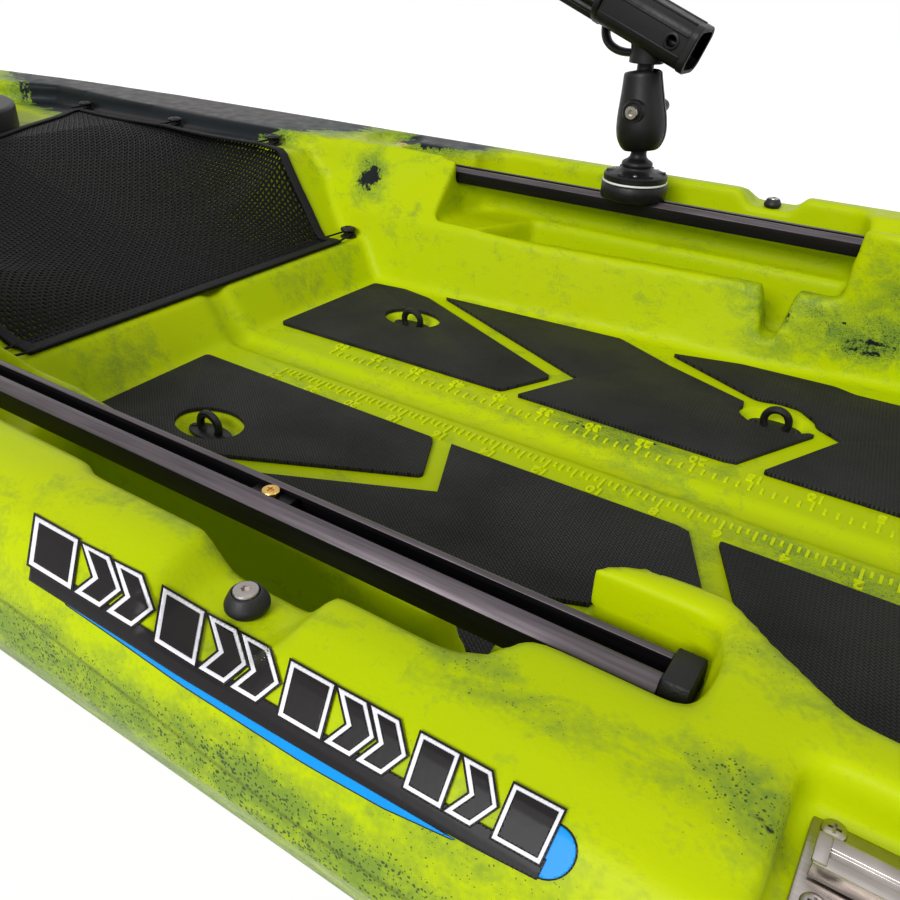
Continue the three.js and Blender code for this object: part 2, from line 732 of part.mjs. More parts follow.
// Track section, as shares of half its width and of its height
const slotHalfShare = 0.35;
const channelHalfShare = 0.62;
const channelFloorShare = 0.36;
const lipFootShare = 0.82;
const chamferFootShare = 0.76;
const halfTrackSectionShares = [
  [1, 0], [1, chamferFootShare], [channelHalfShare, 1], [slotHalfShare, 1], [slotHalfShare, lipFootShare],
  [channelHalfShare, lipFootShare], [channelHalfShare, channelFloorShare],
];
const halfCapSectionShares = [[1, 0], [1, 0.72], [0.76, 1]];
const trackBoreHalf = channelHalfShare * trackWidth / 2;
const trackFloorTop = trackSeat + channelFloorShare * trackHeight;
const trackLipFoot = trackSeat + lipFootShare * trackHeight;
const capLip = 2.2;

function trackSection(halfShares, height) {
  const half = halfShares.map(([y, z]) => [y * trackWidth / 2, trackSeat + z * height]);
  const otherHalf = half.map(([y, z]) => [-y, z]).reverse();
  return [...half, ...otherHalf].map(([y, z]) => [trackY + y, z]);
}

// Plug cap closing the stern end of a track, a little proud of its section all round the top
function trackCap() {
  const outline = trackSection(halfCapSectionShares, trackHeight + capLip);
  return alongX(outline, trackSternX - trackCapLength, trackSternX);
}

for (const [sideName, side] of portAndStarboard) {
  const rail = alongX(trackSection(halfTrackSectionShares, trackHeight), trackBowX, trackSternX - trackCapLength - fitGap);
  add(`${sideName}_track`, onSide(rail, side), 'anodised');
  add(`${sideName}_track_cap`, onSide(trackCap(), side), 'blackPlastic');
}

// Slot nut with its brass screw, sliding in the port track
const nutLength = 26;
const nutXShare = -0.1676;
const nutScrewRadius = 4.1;
const nutScrewRise = 0.4;

function trackNut() {
  const x = nutXShare * halfLength;
  const foot = block(
    [x - nutLength / 2, x + nutLength / 2],
    [trackY - trackBoreHalf + fitGap, trackY + trackBoreHalf - fitGap],
    [trackFloorTop + fitGap, trackLipFoot - fitGap],
  );
  const screw = peg(nutScrewRadius, trackFloorTop + 2 * fitGap, trackTop + nutScrewRise, roundSides / 2);
  return join([foot, screw.translate(x, trackY, 0)]);
}

add('port_track_nut', onSide(trackNut(), -1), 'brass');

// Foam deck pads, laid between the ruler strips and the cockpit walls
const padThickness = 4;
const frontPadShares = [
  [-0.3707, 0.1207], [-0.3681, 0.487], [-0.3447, 0.5], [-0.3218, 0.483], [-0.2016, 0.25], [-0.216, 0.1293],
];
const middlePadShares = [
  [-0.3138, 0.517], [-0.192, 0.545], [-0.184, 0.53], [-0.1537, 0.468], [-0.1055, 0.391], [-0.1042, 0.37],
  [-0.1042, 0.333], [-0.0664, 0.329], [-0.0905, 0.135], [-0.096, 0.1293], [-0.2058, 0.1293], [-0.1888, 0.28],
];
const rearPadShares = [
  [-0.158, 0.539], [-0.1202, 0.58], [-0.0691, 0.589], [-0.0585, 0.573], [-0.0362, 0.576], [0.0106, 0.582],
  [0.0191, 0.565], [0.0191, 0.1293], [-0.0787, 0.1293], [-0.0537, 0.338], [-0.0678, 0.373], [-0.0692, 0.393],
  [-0.0793, 0.4328], [-0.0896, 0.437], [-0.099, 0.425], [-0.1034, 0.4286],
];
const seatPadShares = [
  [0.029, 0.1293], [0.029, 0.565], [0.036, 0.582], [0.2, 0.582], [0.318, 0.56], [0.33, 0.53], [0.33, 0.1293],
];
const padPocketRim = 3;

function deckPad(shares, eyes) {
  const low = deckHeight + fitGap;
  const sheet = alongZ(placed(shares), low, low + padThickness);
  const [rimX, rimY] = [eyePocketLength / 2 + padPocketRim, eyePocketWidth / 2 + padPocketRim];
  const holes = eyes.map(([x, y]) => (
    ovalColumn(rimX, rimY, low - overrun, low + overrun, roundSides).translate(x * halfLength, y * halfBeam, 0)
  ));
  return cut(sheet, holes);
}

for (const [sideName, side] of portAndStarboard) {
  const pads = { front: frontPadShares, middle: middlePadShares, rear: rearPadShares, seat: seatPadShares };
  for (const [name, shares] of Object.entries(pads)) {
    add(`deck_pad_${name}_${sideName}`, onSide(deckPad(shares, eyePlaceShares), side), 'foam');
  }
}

// Strap eyes: a foot with a standing loop, in the oval deck pockets
const eyeFootLength = 50;
const eyeFootWidth = 24;
const eyeFoot = 4;
const eyeLoopRadius = 11.5;
const eyeWire = 3.7;
const eyeLoopSides = 12;
const eyeWireSides = 6;
const wireSides = 8;

function strapEye() {
  const foot = ovalColumn(eyeFootLength / 2, eyeFootWidth / 2, 0, eyeFoot, fewSides);
  const loop = new THREE.TorusGeometry(eyeLoopRadius, eyeWire, eyeWireSides, eyeLoopSides).rotateX(Math.PI / 2);
  return join([foot, loop.translate(0, 0, eyeFoot + eyeLoopRadius / 2)]);
}

for (const [sideName, side] of portAndStarboard) {
  eyePlaceShares.forEach(([x, y], i) => {
    const eye = add(`strap_eye_${sideName}_${i + 1}`, cutFlat(strapEye()), 'blackPlastic');
    eye.position.set(x * halfLength, side * y * halfBeam, deckHeight - eyePocketDepth + fitGap);
  });
}

// Trims a small part flat at its own zero height
function cutFlat(geometry) {
  return cut(geometry, [block([-overrun, overrun], [-overrun, overrun], [-overrun, 0])]);
}

// Paddle bumpers in the gunwale notches, each with a stainless screw
const bumperSides = 14;
const bumperFootRadius = 9.6;
const bumperTopRadius = 7.2;
const bumperHeight = 9.5;
const bumperBore = 2.4;
const bumperScrewHead = 5.4;
const bumperScrewRise = 2.4;
const bumperCounterbore = 2;

for (const [sideName, side] of portAndStarboard) {
  const bumper = turned([
    [bumperBore, 0], [bumperFootRadius, 0], [bumperFootRadius, bumperHeight / 4], [bumperTopRadius, bumperHeight],
    [bumperScrewHead + fitGap, bumperHeight], [bumperScrewHead + fitGap, bumperHeight - bumperCounterbore],
    [bumperBore, bumperHeight - bumperCounterbore], [bumperBore, 0],
  ], bumperSides);
  const head = bumperHeight - bumperCounterbore + fitGap;
  const screw = turned([
    [0, 0], [bumperBore - fitGap, 0], [bumperBore - fitGap, head], [bumperScrewHead, head],
    [bumperScrewHead, head + bumperScrewRise], [bumperScrewHead / 2, head + bumperScrewRise * 4 / 3],
    [0, head + bumperScrewRise * 4 / 3],
  ], fewSides);
  const x = bumperXShare * halfLength;
  const y = side * bumperYShare * halfBeam;
  const z = hullDepth - notchDepth + fitGap;
  add(`${sideName}_bumper`, bumper, 'rubber').position.set(x, y, z);
  add(`${sideName}_bumper_screw`, screw, 'stainless').position.set(x, y, z);
}

// Rod holder: slide base, turning stud with a ball, two clamp arms and the holder tube
const rodXShare = -0.2154;
const rodBaseRadius = 37.5;
const rodBaseHeight = 17;
const rodRingHeight = 2;
const rodStemRadius = 3.6;
const rodFootHalf = 7;
const studDiscRadius = 36;
const studDiscHeight = 10;
const studFlangeRadius = 17.5;
const studFlangeHeight = 12;
const studNeckRadius = 9;
const ballRadius = 16;
const upperBallRadius = 14;
const studNeckLength = 13;
const ballSides = 12;
const armSpan = 52;
const armLean = THREE.MathUtils.degToRad(7);
const ballGap = 1.2;
const neckSinkShare = 0.7;
const flangeWaistShare = 0.86;
const flangeTopShare = 0.9;
const rodX = rodXShare * halfLength;
const rodBaseTop = trackTop + fitGap + rodBaseHeight;
const studFoot = rodBaseTop + rodRingHeight + 2 * fitGap;
const lowerBallZ = studFoot + studDiscHeight + studFlangeHeight + studNeckLength + ballRadius * neckSinkShare;

const rodMount = new THREE.Group();
rodMount.position.set(rodX, trackY, 0);
kayak.add(rodMount);

function rodBase() {
  const plate = turned([
    [0, trackTop + fitGap], [rodBaseRadius, trackTop + fitGap], [rodBaseRadius, rodBaseTop - fillet / 2],
    [rodBaseRadius - fillet / 2, rodBaseTop], [0, rodBaseTop],
  ], 2 * ballSides);
  const stem = peg(rodStemRadius, trackFloorTop + 2 * fitGap, trackTop + rodBaseHeight / 2, ballSides / 2);
  const foot = block(
    [-rodFootHalf, rodFootHalf], [-rodFootHalf, rodFootHalf],
    [trackFloorTop + fitGap, trackLipFoot - fitGap],
  );
  return join([plate, stem, foot]);
}

function rodRing() {
  return peg(rodBaseRadius - fillet / 4, rodBaseTop + fitGap, rodBaseTop + fitGap + rodRingHeight, 2 * ballSides);
}

function ballStud() {
  const disc = studFoot + studDiscHeight;
  const flange = disc + studFlangeHeight;
  const body = turned([
    [0, studFoot], [studDiscRadius, studFoot], [studDiscRadius, disc - fillet], [studDiscRadius - fillet, disc - fillet / 2],
    [studFlangeRadius, disc], [studFlangeRadius * flangeWaistShare, disc + studFlangeHeight / 4],
    [studFlangeRadius, disc + studFlangeHeight / 2], [studFlangeRadius * flangeTopShare, flange - fillet / 2],
    [studNeckRadius, flange], [studNeckRadius, lowerBallZ], [0, lowerBallZ],
  ], 2 * ballSides);
  return join([body, ball(ballRadius, ballSides).translate(0, 0, lowerBallZ)]);
}

add('rod_base', rodBase(), 'blackPlastic', rodMount);
add('rod_base_ring', rodRing(), 'whitePlastic', rodMount);
add('rod_ball_stud', ballStud(), 'blackPlastic', rodMount);

// Clamp arms in their own frame: lower ball at the origin, upper ball above it
const armCoverShare = 1.02;
const armBottom = ballRadius * armCoverShare;
const armTop = 17;
const armProfileShares = [
  [0, 0], [0.5, 0], [0.76, 0.05], [0.94, 0.16], [1, 0.28], [0.97, 0.45], [0.86, 0.66], [0.76, 0.88], [0.72, 1], [0, 1],
];
const armRadius = 28;
const armSplit = 3;
const bossReachShare = 0.88;
const clampBoltRadius = 3;
const clampHeadRadius = 7;
const clampHeadHeight = 5;
const clampBossRadius = 12;
const clampBossHeight = 5;
const knobRadius = 15;
const knobHeight = 14;
const knobLobes = 3;
const knobLobeRadius = 7;
const knobHubShare = 0.7;
const boltTailShare = 0.8;
const clampHeight = armSpan / 2 + 2 * ballGap;
const armHeight = armBottom + armSpan + armTop;
const neckSwingShare = 1.9;
const neckMouthShare = 2.85;
const neckTilt = THREE.MathUtils.degToRad(25);
const neckRadius = 9;
const bossReach = armRadius * bossReachShare;

const arm = new THREE.Group();
arm.position.set(0, 0, lowerBallZ);
arm.rotation.y = -armLean;
rodMount.add(arm);

// Shape turned about the clamp axis, which runs across the arm
function acrossArm(geometry) {
  return geometry.rotateX(Math.PI / 2).translate(0, 0, clampHeight);
}

function clampArm(facing) {
  const body = turned(armProfileShares.map(([r, z]) => [r * armRadius, z * armHeight - armBottom]), ballSides);
  const bossSpan = facing < 0 ? [0, bossReach + clampBossHeight / 2] : [-bossReach, 0];
  const boss = acrossArm(peg(clampBossRadius, ...bossSpan, ballSides));
  const neckWay = turned([
    [0, -2 * armBottom], [studNeckRadius * neckMouthShare, -2 * armBottom],
    [studNeckRadius * neckSwingShare, -armBottom / 2], [0, -armBottom / 2],
  ], ballSides);
  const wayHalf = neckRadius + 2 * ballGap;
  const wayTop = 3 * armTop;
  const upperWay = alongY([
    [-wayHalf, armSpan], [wayHalf, armSpan], [wayHalf + wayTop * Math.tan(neckTilt), armSpan + wayTop],
    [-wayHalf - wayTop * Math.tan(neckTilt), armSpan + wayTop],
  ], -wayHalf, wayHalf);
  const tall = [-armHeight, 2 * armHeight];
  const otherHalf = facing < 0 ? [-armSplit / 2, beam] : [-beam, armSplit / 2];
  return cut(join([body, boss]), [
    ball(ballRadius + ballGap, ballSides),
    ball(upperBallRadius + ballGap, ballSides).translate(0, 0, armSpan),
    neckWay,
    upperWay,
    acrossArm(peg(clampBoltRadius + fitGap, -2 * armRadius, 2 * armRadius, ballSides)),
    block([-beam, beam], otherHalf, tall),
  ]);
}

// Neck of the holder tube, which stands in the top of the arm
const neckPlateRadius = 18.5;
const neckLift = 4;
const tubeRise = THREE.MathUtils.degToRad(22);
const tubeSize = 47;
const tubeWall = 4;
const tubeLength = 112;
const tubeAft = 59;
const tubeCorner = 13;
const tubeOverBall = 61;
const collarLength = 58;
const collarBand = 6;
const collarRibs = 14;
const collarRibDepth = 1.6;
const loopWire = 4;
const loopShares = [[-0.7, 2], [-1.8, 2], [-2.6, 4], [-2.8, 7.2], [-2.6, 11.6]];
const sideHoleRadius = 8;
const sideHoleBack = 24;
const loopSteps = 8;
const cornerSides = 4;

function clampBolt() {
  const face = bossReach + clampBossHeight / 2 + fitGap;
  const tail = armRadius + knobHeight * boltTailShare;
  const shank = peg(clampBoltRadius, -tail, face + clampHeadHeight / 2, ballSides);
  const head = peg(clampHeadRadius, face, face + clampHeadHeight, ballSides);
  return acrossArm(join([shank, head]));
}

function clampKnob() {
  const near = armRadius + fitGap;
  const reach = knobRadius * knobHubShare;
  const hub = peg(reach, -near - knobHeight, -near, ballSides);
  const lobes = Array.from({ length: knobLobes }, (_, i) => {
    const angle = i / knobLobes * 2 * Math.PI;
    const lobe = peg(knobLobeRadius, -near - knobHeight, -near, ballSides / 2);
    return lobe.translate(reach * Math.cos(angle), reach * Math.sin(angle), 0);
  });
  const bore = peg(clampBoltRadius + fitGap, -near - 2 * knobHeight, 0, ballSides);
  return acrossArm(cut(join([hub, ...lobes]), [bore]));
}

add('rod_arm_front', clampArm(-1), 'blackPlastic', arm);
add('rod_arm_rear', clampArm(1), 'blackPlastic', arm);
add('rod_arm_bolt', clampBolt(), 'stainless', arm);
add('rod_arm_knob', clampKnob(), 'blackPlastic', arm);

// Rounded square across the tube, in the tube's own frame with X along it
function tubeSection(size, corner, perCorner) {
  const outline = [];
  for (let quarter = 0; quarter < 4; quarter += 1) {
    for (let i = 0; i < perCorner; i += 1) {
      const angle = (quarter + i / (perCorner - 1)) * Math.PI / 2;
      const [sx, sy] = [[1, 1], [-1, 1], [-1, -1], [1, -1]][quarter];
      outline.push([
        sx * (size / 2 - corner) + corner * Math.cos(angle),
        sy * (size / 2 - corner) + corner * Math.sin(angle),
      ]);
    }
  }
  return outline;
}

const holder = new THREE.Group();
holder.position.set(0, 0, armSpan);
holder.rotation.y = armLean;
arm.add(holder);

// Tube geometry leans up towards the bow; its own +X points down and aft
function alongTube(geometry) {
  return geometry.rotateY(tubeRise).translate(0, 0, tubeOverBall);
}

function rodTube() {
  const shell = alongTube(alongX(tubeSection(tubeSize, tubeCorner, cornerSides), tubeAft - tubeLength, tubeAft));
  const bore = alongTube(alongX(
    tubeSection(tubeSize - 2 * tubeWall, tubeCorner - tubeWall, cornerSides), -2 * tubeLength, 2 * tubeLength,
  ));
  const ballEnd = ball(upperBallRadius, ballSides);
  const stem = peg(neckRadius, 0, tubeOverBall, ballSides);
  const plateFoot = armTop + 2 * ballGap + neckLift;
  const neck = peg(neckPlateRadius, plateFoot, tubeOverBall, ballSides);
  const loopPath = loopShares.map(([x, z]) => [x * neckPlateRadius, 0, plateFoot + z * loopWire]);
  const loop = bar(loopPath, loopWire, wireSides, loopSteps);
  const sideHole = peg(sideHoleRadius, -tubeSize, 0, ballSides).rotateX(-Math.PI / 2);
  return cut(join([shell, ballEnd, stem, neck, loop]), [
    bore,
    alongTube(sideHole.translate(tubeAft - sideHoleBack, 0, 0)),
  ]);
}

// Ribbed collar that turns on the front of the tube
function rodCollar() {
  const outer = tubeSize / 2 + collarRibDepth;
  const ribbed = [];
  for (let i = 0; i < 2 * collarRibs; i += 1) {
    const angle = i / (2 * collarRibs) * 2 * Math.PI;
    const radius = outer + (i % 2 ? collarRibDepth : 0);
    ribbed.push([radius * Math.cos(angle), radius * Math.sin(angle)]);
  }
  const front = tubeAft - tubeLength - fitGap;
  const grip = alongX(ribbed, front - collarLength, front - collarBand);
  const band = peg(outer + collarRibDepth, 0, collarBand, 2 * collarRibs).rotateY(Math.PI / 2);
  const bore = peg(tubeSize / 2 - tubeWall, 0, 2 * collarLength, ballSides).rotateY(Math.PI / 2);
  const whole = join([grip, band.translate(front - collarBand, 0, 0)]);
  return alongTube(cut(whole, [bore.translate(front - 3 * collarLength / 2, 0, 0)]));
}

add('rod_holder_tube', rodTube(), 'blackPlastic', holder);
add('rod_holder_collar', rodCollar(), 'blackPlastic', holder);

// Section latches: stainless base, lever, wire bail and keeper in each side recess
const latchPlate = 2;
const latchWidth = 40;
const latchBaseBow = -43;
const latchBaseStern = 30;
const latchInset = 2;
const latchPivotX = 4;
const latchPivotRise = 6;
const latchArm = 12;
const leverWidth = 15;
const leverLength = 44;
const leverThickness = 2;
const bailWire = 1.5;
const bailGap = 1;
const bailReach = 80;
const keeperLip = 9;
const keeperLength = 30;
const keeperWidth = 32;
const latchScrewRadius = 4.2;
const latchScrewRise = 2;
const latchScrewInset = 7;
const latchPin = 1.6;
const leverHeelShare = 0.6;
const leverLipShare = 1.8;
const leverSlopeShare = 1.6;
const latchY = latchInnerShare * halfBeam + latchInset + latchWidth / 2;
const plateTop = latchFloor + fitGap + latchPlate;
const pivotZ = plateTop + latchPivotRise;

function screwHead(x, y) {
  const head = turned([
    [0, -latchPlate / 2], [latchScrewRadius, -latchPlate / 2], [latchScrewRadius, latchScrewRise / 2],
    [latchScrewRadius / 2, latchScrewRise], [0, latchScrewRise],
  ], wireSides);
  return head.translate(x, y, plateTop);
}

function latchBase() {
  const half = latchWidth / 2;
  const plate = block([latchBaseBow, latchBaseStern], [-half, half], [latchFloor + fitGap, plateTop]);
  const screws = [];
  for (const x of [latchBaseBow + latchScrewInset, latchBaseStern - latchScrewInset]) {
    for (const y of [latchScrewInset - half, half - latchScrewInset]) screws.push(screwHead(x, y));
  }
  const ears = [-1, 1].map((side) => {
    const inner = leverWidth / 2 + fitGap;
    const across = [side * inner, side * (inner + leverThickness / 2)].sort((a, b) => a - b);
    const back = [latchPivotX - latchPivotRise / 2, latchPivotX + latchPivotRise / 2];
    return block(back, across, [plateTop - latchPlate / 2, pivotZ + 2 * latchPin]);
  });
  const pinReach = leverWidth / 2 + leverThickness / 2;
  const pin = peg(latchPin - fitGap, -pinReach, pinReach, wireSides);
  return join([plate, ...screws, ...ears, pin.rotateX(Math.PI / 2).translate(latchPivotX, 0, pivotZ)]);
}

function latchLever() {
  const half = leverWidth / 2;
  const rise = latchPivotRise - 2 * fitGap;
  const bow = latchPivotX - leverLength;
  const stern = latchPivotX + latchPivotRise * leverHeelShare;
  const flange = [
    [bow, pivotZ], [bow, pivotZ + latchPin], [stern, pivotZ + latchPin], [stern, pivotZ - latchPin * leverLipShare],
    [latchPivotX - latchArm * leverSlopeShare, pivotZ - rise + fitGap], [bow + latchPin, pivotZ - rise + fitGap],
  ];
  const flanges = [-1, 1].map((side) => {
    const across = [side * half, side * (half - leverThickness)].sort((a, b) => a - b);
    return alongY(flange, ...across);
  });
  const webFoot = pivotZ + latchPin - leverThickness / 2;
  const web = block([bow, stern - latchPin], [-half, half], [webFoot, pivotZ + latchPin + leverThickness]);
  const holes = [latchPivotX, latchPivotX - latchArm].map((x) => (
    peg(latchPin, -leverWidth, leverWidth, fewSides).rotateX(Math.PI / 2).translate(x, 0, pivotZ)
  ));
  return cut(join([...flanges, web]), holes);
}

function latchBail() {
  const reach = leverWidth / 2 + leverThickness + bailGap + bailWire;
  const start = latchPivotX - latchArm;
  const end = start + bailReach;
  const wire = bailWire - fitGap;
  return join(framed([
    [start, -leverWidth / 2 + fitGap, pivotZ], [start, -reach, pivotZ], [end, -reach, pivotZ],
    [end, reach, pivotZ], [start, reach, pivotZ], [start, leverWidth / 2 - fitGap, pivotZ],
  ], wire, wireSides));
}

function latchKeeper() {
  const half = keeperWidth / 2;
  const barX = latchPivotX - latchArm + bailReach;
  const lipX = barX - bailWire - fitGap;
  const [bow, stern] = [lipX - keeperLip, lipX - keeperLip + keeperLength];
  const plate = block([bow, stern], [-half, half], [latchFloor + fitGap, plateTop]);
  const lipHeights = [plateTop - latchPlate / 2, plateTop + keeperLip];
  const lip = block([lipX - latchPlate, lipX], [-leverWidth / 2, leverWidth / 2], lipHeights);
  const screws = [latchScrewInset - half, half - latchScrewInset].map((y) => screwHead(stern - latchScrewInset, y));
  return join([plate, lip, ...screws]);
}

for (const [sideName, side] of portAndStarboard) {
  const parts = { base: latchBase(), lever: latchLever(), bail: latchBail(), keeper: latchKeeper() };
  for (const [name, geometry] of Object.entries(parts)) {
    add(`${sideName}_latch_${name}`, onSide(geometry.translate(0, latchY, 0), side), 'stainless');
  }
}

// Carry handles and the stern drain plug
const handleSpan = 120;
const handleRise = 34;
const handleGrip = 8;
const handleFoot = 5;
const handleFootRadius = 15;
const handleShoulderShare = 0.8;
const handleSteps = 10;
const bowHandleShare = -0.9;
const sternHandleShare = 0.94;

function carryHandle() {
  const half = handleSpan / 2;
  const shoulder = half * handleShoulderShare;
  const grip = bar([
    [0, -half, handleGrip / 2], [0, -half, handleRise / 2], [0, -shoulder, handleRise],
    [0, 0, handleRise + handleGrip / 2], [0, shoulder, handleRise], [0, half, handleRise / 2],
    [0, half, handleGrip / 2],
  ], handleGrip, wireSides, handleSteps);
  const feet = [-half, half].map((y) => peg(handleFootRadius, 0, handleFoot, roundSides / 2).translate(0, y, 0));
  return cutFlat(join([grip, ...feet]));
}

for (const [name, share] of [['bow_handle', bowHandleShare], ['stern_handle', sternHandleShare]]) {
  const rise = (share < 0 ? bowSheerRise : sternSheerRise);
  const reach = Math.abs(share) + handleFootRadius / halfLength;
  const handle = add(name, carryHandle(), 'blackPlastic');
  handle.position.set(share * halfLength, 0, hullDepth + rise * reach ** sheerPower + fitGap);
}

const plugHeadRadius = 21;
const plugHead = 7;
const plugStem = 16;
const plugGrip = 4;
const plugGripShare = 0.6;

function drainPlug() {
  const stem = drainRadius - 2 * fitGap;
  const body = turned([
    [0, -plugStem], [stem, -plugStem], [stem, 0], [plugHeadRadius, 0], [plugHeadRadius, plugHead / 2],
    [plugHeadRadius - fillet, plugHead], [0, plugHead],
  ], roundSides);
  const reach = plugHeadRadius * plugGripShare;
  const grip = block([-reach, reach], [-plugGrip / 2, plugGrip / 2], [0, 2 * plugHead]);
  return join([body, grip]);
}

const plugSeat = hullDepth + sternSheerRise * (drainXShare + plugHeadRadius / halfLength) ** sheerPower;
add('drain_plug', drainPlug(), 'blackPlastic').position.set(drainX, 0, plugSeat + fitGap);

// Framed seat: a base frame on the deck, a hinged back frame and two pads
const seatFrontShare = 0.115;
const seatRearShare = 0.305;
const seatTube = 11;
const seatHalfWidth = 205;
const seatPanRise = 150;
const seatHingeRise = 90;
const seatFootFlare = 20;
const backHeight = 300;
const backRecline = THREE.MathUtils.degToRad(12);
const backGap = 2;
const slatRadius = 9;
const slatShare = 0.3;
const hingePlate = 4;
const hingePin = 5;
const padEdge = 7;
const cushionThickness = 34;
const cushionCrown = 10;
const backPadThickness = 30;
const seatFloor = deckHeight + padThickness + 2 * fitGap;
const seatFrontX = seatFrontShare * halfLength;
const seatRearX = seatRearShare * halfLength;
const panZ = deckHeight + seatPanRise;
const panLength = seatRearX - seatFrontX - 5 * seatTube;
const panMiddle = seatFrontX + panLength / 2;
const hingeX = seatRearX - 2 * seatTube;
const hingeZ = panZ + seatHingeRise;

function seatBase() {
  const pieces = [];
  for (const side of [-1, 1]) {
    const y = side * seatHalfWidth;
    pieces.push(...framed([
      [seatFrontX - seatFootFlare, y, seatFloor - seatTube], [seatFrontX, y, panZ], [seatRearX, y, panZ],
      [seatRearX + seatFootFlare, y, seatFloor - seatTube],
    ], seatTube, wireSides));
    const inner = side * (seatHalfWidth + seatTube - hingePlate);
    const across = [inner, inner + side * hingePlate].sort((a, b) => a - b);
    const cheek = [
      [hingeX - 2 * seatTube, panZ], [hingeX + 2 * seatTube, panZ], [hingeX + seatTube, hingeZ + seatTube],
      [hingeX - seatTube, hingeZ + seatTube],
    ];
    pieces.push(alongY(cheek, ...across));
  }
  for (const x of [panMiddle - slatShare * panLength, panMiddle + slatShare * panLength]) {
    pieces.push(...framed([[x, -seatHalfWidth, panZ], [x, seatHalfWidth, panZ]], slatRadius, wireSides));
  }
  const foot = block([-hullLength, hullLength], [-beam, beam], [0, seatFloor]);
  const holes = [-1, 1].map((side) => (
    peg(hingePin + fitGap, -3 * seatTube, 3 * seatTube, fewSides).rotateX(Math.PI / 2)
      .translate(hingeX, side * (seatHalfWidth + seatTube), hingeZ)
  ));
  return cut(join(pieces), [foot, ...holes]);
}

const seatBack = new THREE.Group();
seatBack.position.set(hingeX, 0, hingeZ);
seatBack.rotation.y = backRecline;
kayak.add(seatBack);

const backPadShare = 0.62;
const backPadMiddleShare = 0.52;
const backShoulderShare = 0.86;
const backPadLength = backHeight * backPadShare;
const backPadMiddle = backHeight * backPadMiddleShare;
const backShoulder = backHeight * backShoulderShare;
const backHalfWidth = seatHalfWidth + 2 * seatTube + backGap;

function seatBackFrame() {
  const bow = backHalfWidth - 3 * seatTube;
  const hoop = framed([
    [0, -backHalfWidth, 0], [0, -backHalfWidth, backShoulder], [0, -bow, backHeight], [0, bow, backHeight],
    [0, backHalfWidth, backShoulder], [0, backHalfWidth, 0],
  ], seatTube, wireSides);
  const braces = [-slatShare, slatShare].flatMap((share) => {
    const z = backPadMiddle + share * backPadLength;
    return framed([[0, -backHalfWidth, z], [0, backHalfWidth, z]], slatRadius, wireSides);
  });
  const pins = [-1, 1].map((side) => (
    peg(hingePin, 0, seatTube + backGap + hingePlate, fewSides).rotateX(side * Math.PI / 2)
      .translate(0, side * backHalfWidth, 0)
  ));
  const knuckles = [-1, 1].map((side) => ball(seatTube, wireSides).translate(0, side * backHalfWidth, 0));
  return join([...hoop, ...braces, ...pins, ...knuckles]);
}

// Crowned pad with drawn-in sides, lying in its own XY plane with its foot at zero
const padPinchShare = 0.04;
const padEdgeShare = 0.6;
const padFootShare = 0.25;
const padCrownPower = 4;
const padRimPower = 0.6;
const padFootPower = 0.5;

function crownedPad(length, width, thickness, crown, across, along) {
  const outlineAt = (i, j, lift) => {
    const [u, v] = [i / along * 2 - 1, j / across * 2 - 1];
    const pinch = 1 - padPinchShare * (1 - (u * v) ** 2);
    const dome = (1 - u ** padCrownPower) * (1 - v ** padCrownPower);
    const edge = thickness * padEdgeShare;
    const top = edge + (crown + thickness - edge) * dome ** padRimPower;
    const bottom = thickness * padFootShare * (1 - dome ** padFootPower);
    const [pinchU, pinchV] = [Math.abs(v) === 1 ? pinch : 1, Math.abs(u) === 1 ? pinch : 1];
    return [u * length / 2 * pinchU, v * width / 2 * pinchV, lift ? top : bottom];
  };
  const grid = (lift) => Array.from({ length: along + 1 }, (_, i) => (
    Array.from({ length: across + 1 }, (__, j) => outlineAt(i, j, lift))
  ));
  const points = [...grid(false).flat(), ...grid(true).flat()];
  const columns = across + 1;
  const lift = columns * (along + 1);
  const faces = [];
  const quad = (a, b, c, d) => faces.push(a, b, c, a, c, d);
  for (let i = 0; i < along; i += 1) {
    for (let j = 0; j < across; j += 1) {
      const [a, b] = [i * columns + j, i * columns + j + 1];
      const [c, d] = [b + columns, a + columns];
      quad(a, b, c, d);
      quad(d + lift, c + lift, b + lift, a + lift);
      if (i === 0) quad(b, a, a + lift, b + lift);
      if (i === along - 1) quad(d, c, c + lift, d + lift);
      if (j === 0) quad(a, d, d + lift, a + lift);
      if (j === across - 1) quad(c, b, b + lift, c + lift);
    }
  }
  return closedGeometry(points, faces);
}

const cushionGrid = 10;
const panWidth = 2 * (seatHalfWidth - seatTube - padEdge);

function seatPad() {
  const pad = crownedPad(panLength, panWidth, cushionThickness - cushionCrown, cushionCrown, cushionGrid, cushionGrid);
  return pad.translate(panMiddle, 0, panZ + slatRadius + fitGap);
}

function backPad() {
  const width = 2 * (backHalfWidth - seatTube - padEdge);
  const pad = crownedPad(backPadLength, width, backPadThickness - cushionCrown, cushionCrown, cushionGrid, cushionGrid);
  return pad.rotateY(-Math.PI / 2).translate(-slatRadius - fitGap, 0, backPadMiddle);
}

add('seat_base_frame', seatBase(), 'anodised');
add('seat_back_frame', seatBackFrame(), 'anodised', seatBack);
add('seat_pad', seatPad(), 'seatFabric');
add('seat_back_pad', backPad(), 'seatFabric', seatBack);

export default kayak;
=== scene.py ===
import json
import math

import bmesh
import bpy
import numpy as np
from mathutils import Matrix, Vector
from mathutils.bvhtree import BVHTree

